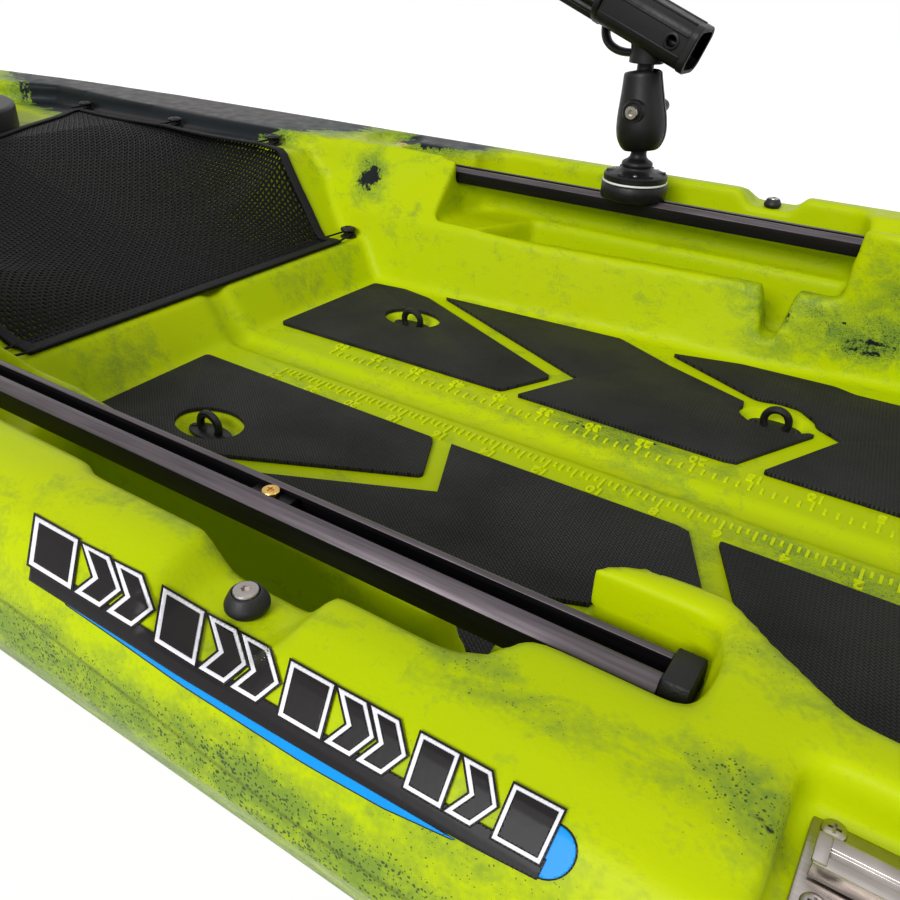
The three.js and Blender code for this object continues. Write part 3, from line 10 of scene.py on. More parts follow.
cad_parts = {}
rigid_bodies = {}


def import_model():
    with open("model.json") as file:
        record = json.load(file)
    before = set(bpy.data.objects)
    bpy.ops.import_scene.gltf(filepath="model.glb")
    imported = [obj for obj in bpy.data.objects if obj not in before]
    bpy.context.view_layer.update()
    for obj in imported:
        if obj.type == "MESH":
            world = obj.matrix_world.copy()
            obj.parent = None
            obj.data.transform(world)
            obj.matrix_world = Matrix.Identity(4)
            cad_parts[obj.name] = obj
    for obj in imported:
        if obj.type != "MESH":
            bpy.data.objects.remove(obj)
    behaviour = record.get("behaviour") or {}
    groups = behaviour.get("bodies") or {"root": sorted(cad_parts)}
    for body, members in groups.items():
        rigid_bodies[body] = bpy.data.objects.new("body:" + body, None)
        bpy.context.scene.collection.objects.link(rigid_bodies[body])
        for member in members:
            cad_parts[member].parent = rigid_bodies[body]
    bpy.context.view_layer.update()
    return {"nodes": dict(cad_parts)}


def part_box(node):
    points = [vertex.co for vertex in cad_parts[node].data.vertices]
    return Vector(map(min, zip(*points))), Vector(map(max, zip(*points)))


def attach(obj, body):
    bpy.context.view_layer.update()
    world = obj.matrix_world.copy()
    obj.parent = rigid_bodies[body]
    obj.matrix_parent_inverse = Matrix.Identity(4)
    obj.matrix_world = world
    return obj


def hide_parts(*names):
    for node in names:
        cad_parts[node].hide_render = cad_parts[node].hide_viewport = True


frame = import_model()

# Camera: it stands off the port side of the cockpit and looks down across the boat
# towards the starboard bow, as someone on the bank would.
camera_place = Vector((-0.05652, -0.59058, 0.56275))
camera_turn, camera_dip, camera_roll = 2.12938, 0.54043, 0.03854
camera_lens, camera_film = 32.96, 36.0

ahead = Vector((math.cos(camera_dip) * math.cos(camera_turn), math.cos(camera_dip) * math.sin(camera_turn),
                -math.sin(camera_dip)))
level_right = Vector((math.sin(camera_turn), -math.cos(camera_turn), 0))
level_up = level_right.cross(ahead)
right = math.cos(camera_roll) * level_right + math.sin(camera_roll) * level_up
up = math.cos(camera_roll) * level_up - math.sin(camera_roll) * level_right
camera_data = bpy.data.cameras.new("camera")
camera_data.lens, camera_data.sensor_width = camera_lens, camera_film
camera_data.clip_start = 0.02
camera = bpy.data.objects.new("camera", camera_data)
camera.matrix_world = Matrix.Translation(camera_place) @ Matrix((right, up, -ahead)).transposed().to_4x4()
bpy.context.scene.collection.objects.link(camera)
bpy.context.scene.camera = camera

# Hull: two rotomoulded polyethylene shells that meet amidships. Lime resin with dark
# pigment dropped into the mould, so the skin is blotched and speckled, with soft corners.
lime, charcoal = (186, 203, 0), (52, 49, 48)
voxel, hull_faces = 0.0045, 195000
smoothing_steps = 5
hole_slack, wall_lean = 0.0012, 0.05
hatch_axis, hatch_hole = (-1.36394, 0.0), 0.134
drain_axis, drain_hole = (1.6544, 0.0), 0.015
slope_bow, slope_stern, slope_half = -0.166, -0.087, 0.0225
slope_line, slope_level = 0.3695, 0.3352


def paint(red, green, blue):
    """Colour as the eye reads it, turned into the value that a shader takes."""
    steps = [value / 255 for value in (red, green, blue)]
    return tuple(s / 12.92 if s <= 0.04045 else ((s + 0.055) / 1.055) ** 2.4 for s in steps) + (1.0,)


def node(tree, kind, settings=None, **sockets):
    """One shader node: settings are its own, sockets are values or the sockets they come from."""
    made = tree.nodes.new("ShaderNode" + kind)
    for name, value in (settings or {}).items():
        setattr(made, name, value)
    for name, value in sockets.items():
        numbered = name[0] == "i" and name[1:].isdigit()
        socket = made.inputs[int(name[1:]) if numbered else name.replace("_", " ")]
        if isinstance(value, bpy.types.NodeSocket):
            tree.links.new(value, socket)
        else:
            socket.default_value = value
    return made


def surface(name, colour, roughness, **plain):
    """New material with one principled shader; plain values stay on its sockets."""
    material = bpy.data.materials.new(name)
    material.use_nodes = True
    tree = material.node_tree
    shader = tree.nodes["Principled BSDF"]
    shader.inputs["Base Color"].default_value = paint(*colour)
    shader.inputs["Roughness"].default_value = roughness
    for socket, value in plain.items():
        shader.inputs[socket.replace("_", " ")].default_value = value
    place = node(tree, "TexCoord").outputs["Object"]
    return material, tree, shader, place


def noise_at(tree, place, scale, detail=2.0, stretch=(1, 1, 1), distortion=0.0):
    """Noise of about 1/scale metres, drawn out along an axis by a small stretch."""
    mapped = node(tree, "Mapping", i0=place, i3=stretch).outputs[0]
    return node(tree, "TexNoise", Vector=mapped, Scale=scale, Detail=detail,
                Distortion=distortion).outputs[0]


def ramp(tree, value, low, high, to_low=0.0, to_high=1.0):
    return node(tree, "MapRange", i0=value, i1=low, i2=high, i3=to_low, i4=to_high).outputs[0]


def drift(tree, place, scale, detail, to_low=0.0, to_high=1.0):
    """Noise spread evenly between two values."""
    return ramp(tree, noise_at(tree, place, scale, detail), 0.3, 0.7, to_low, to_high)


def sums(tree, operation, first, second=0.0):
    return node(tree, "Math", {"operation": operation}, i0=first, i1=second).outputs[0]


def mixed(tree, share, first, second):
    """Colour between two, each a colour or a socket."""
    made = node(tree, "Mix", {"data_type": "RGBA"}, i0=share)
    for index, value in ((6, first), (7, second)):
        if isinstance(value, bpy.types.NodeSocket):
            tree.links.new(value, made.inputs[index])
        else:
            made.inputs[index].default_value = paint(*value)
    return made.outputs[2]


def coloured(tree, shader, colour):
    """Takes the surface's colour from a socket."""
    tree.links.new(colour, shader.inputs["Base Color"])


def roughened(tree, shader, amount):
    """Takes the surface's roughness from a socket."""
    tree.links.new(amount, shader.inputs["Roughness"])


def relief(tree, shader, height, depth, before=None):
    """Adds a height to the surface, in metres, over any relief before it."""
    bump = node(tree, "Bump", Height=height, Distance=depth)
    if before is not None:
        tree.links.new(before.outputs[0], bump.inputs["Normal"])
    tree.links.new(bump.outputs[0], shader.inputs["Normal"])
    return bump


hull_plastic, tree, shader, place = surface("lime_polyethylene", lime, 0.42, Specular_IOR_Level=0.09)
# Pigment lies in smoky clouds with fine dust over them, and is solid only in their middle
clouds = noise_at(tree, place, 5.5, 6.0, (0.75, 1.0, 1.6), 0.5)
speckle = noise_at(tree, place, 230, 5.0)
streaks = noise_at(tree, place, 34, 6.0, (0.5, 1.2, 1.0), 1.6)
# Dark places on this boat, mostly pigment and low on the port side painted shade as well: centre, half
# sizes along X, Y and Z, and how solid each is
dark_places = [
    ((-1.22, 0.40, 0.35), (0.36, 0.16, 0.12), 4.0),
    ((-1.62, 0.10, 0.37), (0.12, 0.10, 0.06), 0.75),
    ((-0.70, 0.395, 0.345), (0.085, 0.040, 0.02), 1.9),
    ((-0.75, 0.305, 0.29), (0.035, 0.03, 0.05), 1.25),
    ((-0.67, 0.345, 0.32), (0.012, 0.02, 0.016), 1.25),
    ((-0.665, 0.29, 0.27), (0.012, 0.02, 0.03), 0.60),
    ((-0.16, 0.31, 0.24), (0.14, 0.06, 0.05), 0.66),
    ((-0.06, 0.33, 0.29), (0.07, 0.07, 0.08), 0.74),
    ((-0.115, 0.305, 0.228), (0.050, 0.045, 0.022), 0.90),
    ((-0.075, 0.310, 0.262), (0.030, 0.045, 0.018), 0.92),
    ((-0.28, 0.045, 0.19), (0.13, 0.045, 0.01), 0.62),
    ((-0.02, -0.04, 0.19), (0.14, 0.03, 0.01), 0.58),
    ((-0.17, -0.13, 0.19), (0.03, 0.10, 0.01), 0.50),
    ((-0.15, -0.405, 0.34), (0.07, 0.016, 0.03), 0.52),
    ((-0.06, -0.405, 0.34), (0.035, 0.022, 0.02), 0.64),
    ((-0.13, -0.285, 0.30), (0.07, 0.035, 0.05), 0.58),
    ((-0.07, -0.33, 0.34), (0.04, 0.03, 0.02), 0.50),
    # Places near y = -0.455 lie low on the port side: painted shade there as well as pigment.
    ((-0.13, -0.455, 0.30), (0.05, 0.03, 0.06), 0.46),
    ((-0.32, -0.455, 0.23), (0.50, 0.07, 0.09), 0.66),
    ((-0.69, -0.15, 0.225), (0.05, 0.06, 0.04), 0.72),
    ((-0.75, 0.127, 0.20), (0.04, 0.05, 0.04), 0.60),
    ((-0.80, -0.24, 0.25), (0.06, 0.04, 0.05), 0.55),
    ((-0.60, -0.45, 0.15), (0.30, 0.05, 0.08), 0.60),
    ((0.55, 0.42, 0.30), (0.22, 0.10, 0.12), 0.80),
    ((0.95, -0.40, 0.28), (0.26, 0.12, 0.14), 0.85),
    ((1.45, 0.05, 0.32), (0.30, 0.20, 0.10), 0.80),
]
gathered = None
for centre, halves, weight in dark_places:
    offset = node(tree, "VectorMath", {"operation": "SUBTRACT"}, i0=place, i1=centre).outputs[0]
    scaled = node(tree, "VectorMath", {"operation": "DIVIDE"}, i0=offset, i1=halves).outputs[0]
    reach = node(tree, "VectorMath", {"operation": "LENGTH"}, i0=scaled).outputs["Value"]
    weighed = ramp(tree, reach, 0.35, 1.3, weight, 0.0)
    gathered = weighed if gathered is None else sums(tree, "MAXIMUM", gathered, weighed)
loose = ramp(tree, clouds, 0.58, 0.80, 0.0, 0.40)
amount = sums(tree, "MAXIMUM", gathered, loose)
wisps = ramp(tree, noise_at(tree, place, 13, 7.0, (0.6, 1.0, 1.2), 1.4), 0.3, 0.7, -0.32, 0.32)
apart = node(tree, "SeparateXYZ", i0=place)
# Below the gunwale the hull's outer sides and bottom are hazed darker, most round the cockpit: pigment
# haze, and painted shade on the lower sides as well.
side_wall = ramp(tree, sums(tree, "ABSOLUTE", apart.outputs["Y"]), 0.430, 0.436)
outside = sums(tree, "MAXIMUM", side_wall, ramp(tree, apart.outputs["Z"], 0.162, 0.174, 1.0, 0.0))
low_side_haze_and_shade = sums(tree, "MULTIPLY", outside, ramp(tree, apart.outputs["Z"], 0.302, 0.318, 0.86, 0.0))
from_middle = sums(tree, "ABSOLUTE", sums(tree, "ADD", apart.outputs["X"], 0.25))
low_side_haze_and_shade = sums(tree, "MULTIPLY", low_side_haze_and_shade, ramp(tree, from_middle, 0.40, 1.0, 1.0, 0.0))
smoke_and_side_shade = sums(tree, "ADD", sums(tree, "MAXIMUM", amount, low_side_haze_and_shade), wisps)
mottle = ramp(tree, noise_at(tree, place, 70, 6.0, (0.7, 1.0, 1.0), 1.0), 0.3, 0.7, -0.26, 0.26)
mottle = sums(tree, "ADD", mottle, drift(tree, place, 420, 3.0, -0.14, 0.14))
haze_and_shade = ramp(tree, sums(tree, "ADD", smoke_and_side_shade, mottle), 0.12, 0.95, 0.0, 0.80)
grain_share = ramp(tree, smoke_and_side_shade, 0.05, 1.0, 0.0, 0.60)
torn = node(tree, "TexNoise", Vector=place, Scale=300, Detail=2.0).outputs["Color"]
torn = node(tree, "VectorMath", {"operation": "SCALE"}, i0=torn, Scale=0.0024).outputs[0]
dusted = node(tree, "VectorMath", i0=place, i1=torn).outputs[0]
fine_dust = node(tree, "TexVoronoi", Vector=dusted, Scale=760)
big_dust = node(tree, "TexVoronoi", Vector=dusted, Scale=330)
fine_radius = sums(tree, "MULTIPLY", ramp(tree, fine_dust.outputs["Color"], 0.25, 0.75), grain_share)
big_radius = sums(tree, "MULTIPLY", ramp(tree, big_dust.outputs["Color"], 0.58, 0.85, 0.0, 0.42),
                  grain_share)
fine_dots = ramp(tree, sums(tree, "SUBTRACT", fine_radius, fine_dust.outputs["Distance"]), -0.03, 0.05)
big_dots = ramp(tree, sums(tree, "SUBTRACT", big_radius, big_dust.outputs["Distance"]), -0.01, 0.03)
dust = sums(tree, "MULTIPLY", sums(tree, "MAXIMUM", fine_dots, big_dots), 0.85)
ragged = sums(tree, "ADD", gathered, ramp(tree, streaks, 0.3, 0.7, -0.34, 0.34))
ragged = sums(tree, "ADD", ragged, ramp(tree, speckle, 0.3, 0.7, -0.16, 0.16))
dark = ramp(tree, ragged, 0.86, 1.0)
body_tone = mixed(tree, ramp(tree, noise_at(tree, place, 9, 3.0), 0.35, 0.68), lime, (181, 203, 0))
# Olive haze: pigment clouds, and painted shade on the hull's lower sides.
body_tone = mixed(tree, haze_and_shade, body_tone, (96, 128, 54))
body_tone = mixed(tree, dust, body_tone, (40, 60, 38))
# Where the dark places are strongest, the ledge and flat tops take charcoal, while the gunwale's inner wall
# above the ledge keeps a blacker blue-black: painted shade on that wall. Weaker dark blotches take the
# blue-black as their own colour.
off_shaded_wall = sums(tree, "MAXIMUM", ramp(tree, apart.outputs["Y"], 0.2995, 0.302),
               ramp(tree, apart.outputs["Z"], 0.3315, 0.334, 1.0, 0.0))
dark_tone_and_wall_shade = mixed(tree, sums(tree, "MULTIPLY", off_shaded_wall, ramp(tree, gathered, 1.6, 2.4)), (22, 27, 30),
                  charcoal)
# Painted shade: a thin dark olive line along two creases of the hull's sides.
painted_crease_shade = None
for drop in (0.0, 0.052):
    level = ramp(tree, apart.outputs["X"], -0.365, -0.20, 0.307 - drop, 0.2945 - drop)
    gap = sums(tree, "ABSOLUTE", sums(tree, "SUBTRACT", apart.outputs["Z"], level))
    line = ramp(tree, gap, 0.0004, 0.0014, 1.0, 0.0)
    painted_crease_shade = line if painted_crease_shade is None else sums(tree, "MAXIMUM", painted_crease_shade, line)
painted_crease_shade = sums(tree, "MULTIPLY", painted_crease_shade, side_wall)
body_tone = mixed(tree, sums(tree, "MULTIPLY", painted_crease_shade, 0.55), body_tone, (84, 96, 34))
coloured(tree, shader, mixed(tree, dark, body_tone, dark_tone_and_wall_shade))
roughened(tree, shader, drift(tree, place, 60, 4.0, 0.34, 0.48))
peel = relief(tree, shader, noise_at(tree, place, 420, 3.0), 0.00010)
relief(tree, shader, noise_at(tree, place, 28, 2.0), 0.0006, peel)


def as_object(mesh, name, material):
    """Links a mesh as a new piece at the origin, with its material and smooth faces."""
    mesh.name = name
    mesh.materials.clear()
    mesh.materials.append(material)
    mesh.polygons.foreach_set("use_smooth", [True] * len(mesh.polygons))
    made = bpy.data.objects.new(name, mesh)
    bpy.context.scene.collection.objects.link(made)
    return made


def applied(piece):
    """Bakes a piece's modifiers into its own mesh."""
    bpy.context.view_layer.update()
    done = bpy.data.meshes.new_from_object(piece.evaluated_get(bpy.context.evaluated_depsgraph_get()))
    piece.modifiers.clear()
    old, piece.data = piece.data, done
    done.name = piece.name
    bpy.data.meshes.remove(old)
    return piece


def outer_skin(cad_node, hole_axis, hole_radius):
    """The outside of a hollow shell: the hole's own wall goes, then the skin inside it."""
    shell = bmesh.new()
    shell.from_mesh(frame["nodes"][cad_node].data)
    bmesh.ops.remove_doubles(shell, verts=shell.verts, dist=1e-5)
    shell.normal_update()
    on_wall = {v for v in shell.verts
               if abs(math.hypot(v.co.x - hole_axis[0], v.co.y - hole_axis[1]) - hole_radius) < hole_slack}
    wall = [f for f in shell.faces if abs(f.normal.z) < wall_lean and all(v in on_wall for v in f.verts)]
    bmesh.ops.delete(shell, geom=wall, context="FACES")
    kept = {max(shell.verts, key=lambda v: v.co.y)}
    waiting = list(kept)
    while waiting:
        for edge in waiting.pop().link_edges:
            for vert in edge.verts:
                if vert not in kept:
                    kept.add(vert)
                    waiting.append(vert)
    bmesh.ops.delete(shell, geom=[v for v in shell.verts if v not in kept], context="VERTS")
    rim = [e for e in shell.edges if e.is_boundary]
    bmesh.ops.contextual_create(shell, geom=rim)
    bmesh.ops.triangulate(shell, faces=[f for f in shell.faces if len(f.verts) > 4])
    mesh = bpy.data.meshes.new(cad_node)
    shell.to_mesh(mesh)
    shell.free()
    return mesh


def brick(low, high):
    """Block between two corners."""
    shape = bmesh.new()
    middle = [(a + b) / 2 for a, b in zip(low, high)]
    sides = [b - a for a, b in zip(low, high)]
    bmesh.ops.create_cube(shape, size=1, matrix=Matrix.Translation(middle) @ Matrix.Diagonal((*sides, 1)))
    return shape


def moved(shape, by=(0, 0, 0), turn=None):
    """Turns a shape about the origin, then shifts it."""
    whole = Matrix.Translation(by) @ (turn or Matrix())
    bmesh.ops.transform(shape, matrix=whole, verts=shape.verts)
    return shape


def carved(shape, *tools):
    """Shape with each tool cut out of it."""
    for tool in tools:
        pair = []
        for part in (shape, tool):
            mesh = bpy.data.meshes.new("work")
            part.to_mesh(mesh)
            part.free()
            pair.append(bpy.data.objects.new("work", mesh))
            bpy.context.scene.collection.objects.link(pair[-1])
        cut = pair[0].modifiers.new("cut", "BOOLEAN")
        cut.operation, cut.solver, cut.object = "DIFFERENCE", "EXACT", pair[1]
        applied(pair[0])
        shape = bmesh.new()
        shape.from_mesh(pair[0].data)
        for used in pair:
            mesh = used.data
            bpy.data.objects.remove(used)
            bpy.data.meshes.remove(mesh)
    return shape


def slopes_by_track():
    """Blocks that slope the gunwale down to the aft end of each gear track."""
    return [moved(brick((slope_bow, -slope_half, 0), (slope_stern, slope_half, 0.03)),
                  (0, side * slope_line, slope_level), Matrix.Rotation(side * math.pi / 4, 4, "X"))
            for side in (-1, 1)]


def moulded(cad_node, name, hole_axis, hole_radius, *cuts):
    """Rounds every corner of a shell as a mould does, and keeps its faces in number."""
    skin = outer_skin(cad_node, hole_axis, hole_radius)
    if cuts:
        shape = bmesh.new()
        shape.from_mesh(skin)
        shape = carved(shape, *cuts)
        shape.to_mesh(skin)
        shape.free()
    hull = as_object(skin, name, hull_plastic)
    remesh = hull.modifiers.new("skin", "REMESH")
    remesh.mode, remesh.voxel_size, remesh.use_smooth_shade = "VOXEL", voxel, True
    soften = hull.modifiers.new("corners", "SMOOTH")
    soften.factor, soften.iterations = 0.5, smoothing_steps
    applied(hull)
    fewer = hull.modifiers.new("fewer", "DECIMATE")
    fewer.ratio = min(1.0, hull_faces / (2 * len(hull.data.polygons)))
    applied(hull)
    hull.data.polygons.foreach_set("use_smooth", [True] * len(hull.data.polygons))
    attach(hull, "boat")
    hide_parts(cad_node)
    return hull


bow_section = moulded("bow_hull", "bow_section", hatch_axis, hatch_hole, *slopes_by_track())
moulded("stern_hull", "stern_section", drain_axis, drain_hole)


# Rulers: tick marks and numbers that stand in relief along the middle of the deck, moulded
# in the same plastic. The port one counts inches and the starboard one centimetres.
relief_height, relief_sink = 0.0018, 0.0006
deck_level, ruler_foot = 0.190, 0.0285
inch, centimetre = 0.0254, 0.010
digit_size, digit_line = 0.0150, 0.0490
tick_width = 0.0023

ruler_plastic, tree, shader, place = surface("ruler_polyethylene", (206, 222, 0), 0.40,
                                             Specular_IOR_Level=0.12)
wash = ramp(tree, noise_at(tree, place, 30, 5.0), 0.56, 0.76, 0.0, 0.4)
coloured(tree, shader, mixed(tree, wash, (208, 224, 0), (140, 162, 20)))
relief(tree, shader, noise_at(tree, place, 500, 3.0), 0.0001)


def joined(first, *others):
    """Several shapes taken into the first one."""
    for other in others:
        carried = bpy.data.meshes.new("carried")
        other.to_mesh(carried)
        other.free()
        first.from_mesh(carried)
        bpy.data.meshes.remove(carried)
    return first


def fitted(shape, name, material, body, slot, *nodes, crisp=0.6):
    """Makes a shape a piece that rides on a body and stands for its CAD nodes."""
    mesh = bpy.data.meshes.new(name)
    shape.to_mesh(mesh)
    shape.free()
    piece = as_object(mesh, name, material)
    mesh.set_sharp_from_angle(angle=crisp)
    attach(piece, body)
    if nodes:
        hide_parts(*nodes)
    return piece


def digits(number, x, y):
    """Raised number, read from the starboard side."""
    line = bpy.data.curves.new("digits", "FONT")
    line.body, line.size, line.extrude = str(number), digit_size, (relief_height + relief_sink) / 2
    line.align_x, line.align_y, line.resolution_u, line.offset = "CENTER", "CENTER", 3, 0.0004
    holder = bpy.data.objects.new("digits", line)
    mesh = bpy.data.meshes.new_from_object(holder)
    shape = bmesh.new()
    shape.from_mesh(mesh)
    for used in (holder, mesh):
        (bpy.data.objects if used is holder else bpy.data.meshes).remove(used)
    return moved(shape, (x, y, deck_level + (relief_height - relief_sink) / 2),
                 Matrix.Rotation(math.pi, 4, "Z"))


def ruler(name, side, pitch, count, reach, labelled):
    """Ticks at a pitch from the stern end of the strip, with a number at each labelled one."""
    marks = bmesh.new()
    for step in range(count + 1):
        x, long = -pitch * step, reach(step)
        ends = sorted((side * ruler_foot, side * (ruler_foot + long)))
        bar = brick((x - tick_width / 2, ends[0], deck_level - relief_sink),
                    (x + tick_width / 2, ends[1], deck_level + relief_height))
        joined(marks, bar)
        if labelled(step):
            joined(marks, digits(labelled(step), x, side * digit_line))
    return fitted(marks, name, ruler_plastic, "boat", "hull_plastic", crisp=0.5)


def inch_reach(step):
    for share, reach in ((8, 0.0140), (4, 0.0115), (2, 0.0085)):
        if step % share == 0:
            return reach
    return 0.0055


def metric_reach(step):
    return 0.0130 if step % 5 == 0 else 0.0075


ruler("port_ruler_marks", -1, inch / 4, 96, inch_reach,
      lambda step: step // 4 if step and step % 8 == 0 else None)
ruler("starboard_ruler_marks", 1, centimetre, 60, metric_reach,
      lambda step: step if step and step % 5 == 0 else None)

# Side decal: printed vinyl on the port gunwale. A row of plain black bars and chevrons edged
# in white and black, over a black band and a blue sweep, pressed onto the moulded curve.
# Its lines are laid out as the camera sees them: the row's foot, and how far it stands up.
picture_side = 900
decal_foot = [(0.0, 31.5, 560.5), (0.108, 87, 594.5), (0.19, 129, 620), (0.30, 186.4, 656),
              (0.49, 284, 713.5), (0.60, 341, 746.5), (0.745, 415, 789), (0.85, 468.4, 820),
              (1.0, 545, 862.5)]
decal_rise = [(0.0, 5.5, -39), (0.27, 7.7, -45), (0.72, 15, -46), (1.0, 22, -46)]
film_step = 2.4
film_thickness = 0.00012
edging, outer_edging = 4.2, 6.6
marks = [(0.004, 0.066, 0.0), (0.098, 0.034, 0.026), (0.160, 0.034, 0.026), (0.248, 0.062, 0.0),
         (0.338, 0.034, 0.026), (0.400, 0.034, 0.026), (0.488, 0.066, 0.0), (0.582, 0.034, 0.026),
         (0.644, 0.034, 0.026), (0.732, 0.058, 0.0), (0.818, 0.034, 0.026), (0.906, 0.079, 0.0)]

bow_body = BVHTree.FromPolygons([v.co for v in bow_section.data.vertices],
                                [p.vertices for p in bow_section.data.polygons])


def vinyl(name, colour):
    """Printed vinyl film: even colour with a faint orange peel."""
    material, tree, shader, place = surface(name, colour, 0.38, Specular_IOR_Level=0.18)
    tint = drift(tree, place, 90, 2.0, 0.0, 0.5)
    coloured(tree, shader, mixed(tree, tint, colour, [value * 0.93 for value in colour]))
    relief(tree, shader, noise_at(tree, place, 300, 2.0), 0.00005)
    return material


def in_picture(along, height):
    """Where a share along the decal and a share up it stand in the camera's picture."""
    foot, rise = ([float(np.interp(along, [row[0] for row in table], [row[axis] for row in table]))
                   for axis in (1, 2)] for table in (decal_foot, decal_rise))
    return foot[0] + height * rise[0], foot[1] + height * rise[1]


def on_skin(x, y, lift):
    """Place on the bow section under a point of the camera's picture, lifted towards the camera."""
    reach = camera_lens / camera_film * picture_side
    sight = reach * ahead + (x - picture_side / 2) * right + (picture_side / 2 - y) * up
    sight.normalize()
    return bow_body.ray_cast(camera_place, sight)[0] - lift * sight


def outset(outline, by):
    """Outline with every edge moved outwards by the same amount, with mitred corners."""
    area = sum(a[0] * b[1] - b[0] * a[1] for a, b in zip(outline, outline[1:] + outline[:1]))
    turn = 1 if area > 0 else -1
    made = []
    for before, at, after in zip(outline[-1:] + outline[:-1], outline, outline[1:] + outline[:1]):
        sides = [Vector((b[1] - a[1], a[0] - b[0])).normalized() * turn
                 for a, b in ((before, at), (at, after))]
        corner = (sides[0] + sides[1]) / max(1 + sides[0].dot(sides[1]), 0.35)
        made.append((at[0] + by * corner.x, at[1] + by * corner.y))
    return made


def film(name, outlines, material, lift):
    """Flat shapes of the picture laid on the curve, with the film's own thin edge."""
    sheet = bmesh.new()
    for outline in outlines:
        sheet.faces.new([sheet.verts.new((x, y, 0)) for x, y in outline])
    for axis in (0, 1):
        places = [vert.co[axis] for vert in sheet.verts]
        for place in np.arange(min(places) + film_step, max(places), film_step):
            through, along = [0, 0, 0], [0, 0, 0]
            through[axis], along[axis] = place, 1
            bmesh.ops.bisect_plane(sheet, geom=sheet.verts[:] + sheet.edges[:] + sheet.faces[:],
                                   plane_co=through, plane_no=along)
    bmesh.ops.triangulate(sheet, faces=sheet.faces)
    for vert in sheet.verts:
        vert.co = on_skin(vert.co.x, vert.co.y, lift)
    sheet.normal_update()
    for face in sheet.faces:
        if face.normal.dot(face.calc_center_median() - camera_place) > 0:
            face.normal_flip()
    piece = fitted(sheet, name, material, "boat", "hull_plastic", crisp=3.0)
    thick = piece.modifiers.new("film", "SOLIDIFY")
    thick.thickness, thick.offset = film_thickness, 1.0
    return piece


shapes = []
for start, wide, point in marks:
    shape = [(start, 0), (start + point, 0.5), (start, 1), (start + wide, 1), (start + wide + point, 0.5),
             (start + wide, 0)]
    shapes.append([in_picture(*corner)
                   for corner in (shape if point else shape[:1] + shape[2:4] + shape[5:])])
along_band = np.linspace(0.0, 1.0, 30)
band_line = [in_picture(along, 0.06) for along in along_band]
band_line += [in_picture(1.0 + 0.02 * math.cos(turn), -0.17 + 0.22 * math.sin(turn))
              for turn in np.linspace(1.2, -1.4, 7)]
band_line += [in_picture(along, -0.50 + 0.12 * along ** 6) for along in along_band[::-1][1:]]
thick_share = [(0.07, 0.0), (0.3, 0.13), (0.55, 0.22), (0.70, 0.18), (0.84, 0.0)]
sweep_line = [in_picture(along, -0.49) for along in np.linspace(0.07, 0.84, 24)]
sweep_line += [in_picture(along, -0.50 - float(np.interp(along, *zip(*thick_share))))
               for along in np.linspace(0.835, 0.075, 24)]
tail_line = [(549 + 27 * math.cos(turn), 851 + 28 * math.sin(turn))
             for turn in np.linspace(0, 2 * math.pi, 29)[:-1]]
black_vinyl, white_vinyl = vinyl("vinyl_black", (21, 18, 18)), vinyl("vinyl_white", (240, 240, 246))
film("decal_tail_edge", [outset(tail_line, 2.0)], black_vinyl, 0.00020)
film("decal_blue_tail", [tail_line], vinyl("vinyl_blue", (0, 148, 230)), 0.00045)
film("decal_sweep_edge", [outset(sweep_line, 1.2)], black_vinyl, 0.00020)
film("decal_blue_sweep", [sweep_line], bpy.data.materials["vinyl_blue"], 0.00045)
film("decal_black_band", [band_line], black_vinyl, 0.00095)
film("decal_outer_edge", [outset(shape, outer_edging) for shape in shapes], black_vinyl, 0.00125)
film("decal_white_edge", [outset(shape, edging) for shape in shapes], white_vinyl, 0.00160)
film("decal_black_marks", shapes, bpy.data.materials["vinyl_black"], 0.00200)

# Deck pads: 4 mm closed-cell foam with a knurled face, cut to shape and glued to the deck.
# Their cut edges are broken, and oval eyes are cut round the strap pockets.
pad_corner, pad_edge = 0.0045, 0.0011
knurl_length, knurl_pitch = 0.0046, 0.0023

deck_foam, tree, shader, place = surface("knurled_foam", (36, 35, 37), 0.66, Specular_IOR_Level=0.14)
turned = node(tree, "Mapping", i0=place, i2=(0, 0, math.radians(38)), i3=(1, 1, 0)).outputs[0]
knurl = node(tree, "TexBrick", {"offset": 0.5}, Vector=turned, Scale=1.0, Mortar_Size=0.00042,
             Mortar_Smooth=0.9, Brick_Width=knurl_length, Row_Height=knurl_pitch)
valley = knurl.outputs["Fac"]
worn = ramp(tree, noise_at(tree, place, 14, 4.0), 0.35, 0.7)
ridge_tone = mixed(tree, worn, (49, 48, 50), (40, 39, 41))
# The knurl's grooves are coloured near black: painted shade in the grooves.
coloured(tree, shader, mixed(tree, valley, ridge_tone, (9, 9, 10)))
roughened(tree, shader, ramp(tree, worn, 0, 1, 0.55, 0.70))
grain = relief(tree, shader, noise_at(tree, place, 1500, 2.0), 0.00006)
relief(tree, shader, ramp(tree, valley, 0, 1, 1, 0), 0.0007, grain)


def bevelled(shape, edges, width, segments, clamped=True):
    """Rounds the given edges of a shape."""
    bmesh.ops.bevel(shape, geom=edges, offset=width, offset_type="OFFSET", affect="EDGES",
                    segments=segments, profile=0.5, material=-1, clamp_overlap=clamped)
    return shape


def upright_edges(shape, longer):
    """Edges of a shape that rise by more than a length."""
    return [e for e in shape.edges if abs(e.verts[0].co.z - e.verts[1].co.z) > longer]


def broken(shape, width, segments=2, sharper=0.5):
    """Breaks the sharp edges of a shape, as a mould or a tool leaves them."""
    edges = [e for e in shape.edges if e.is_manifold and e.calc_face_angle(0) > sharper]
    return bevelled(shape, edges, width, segments)


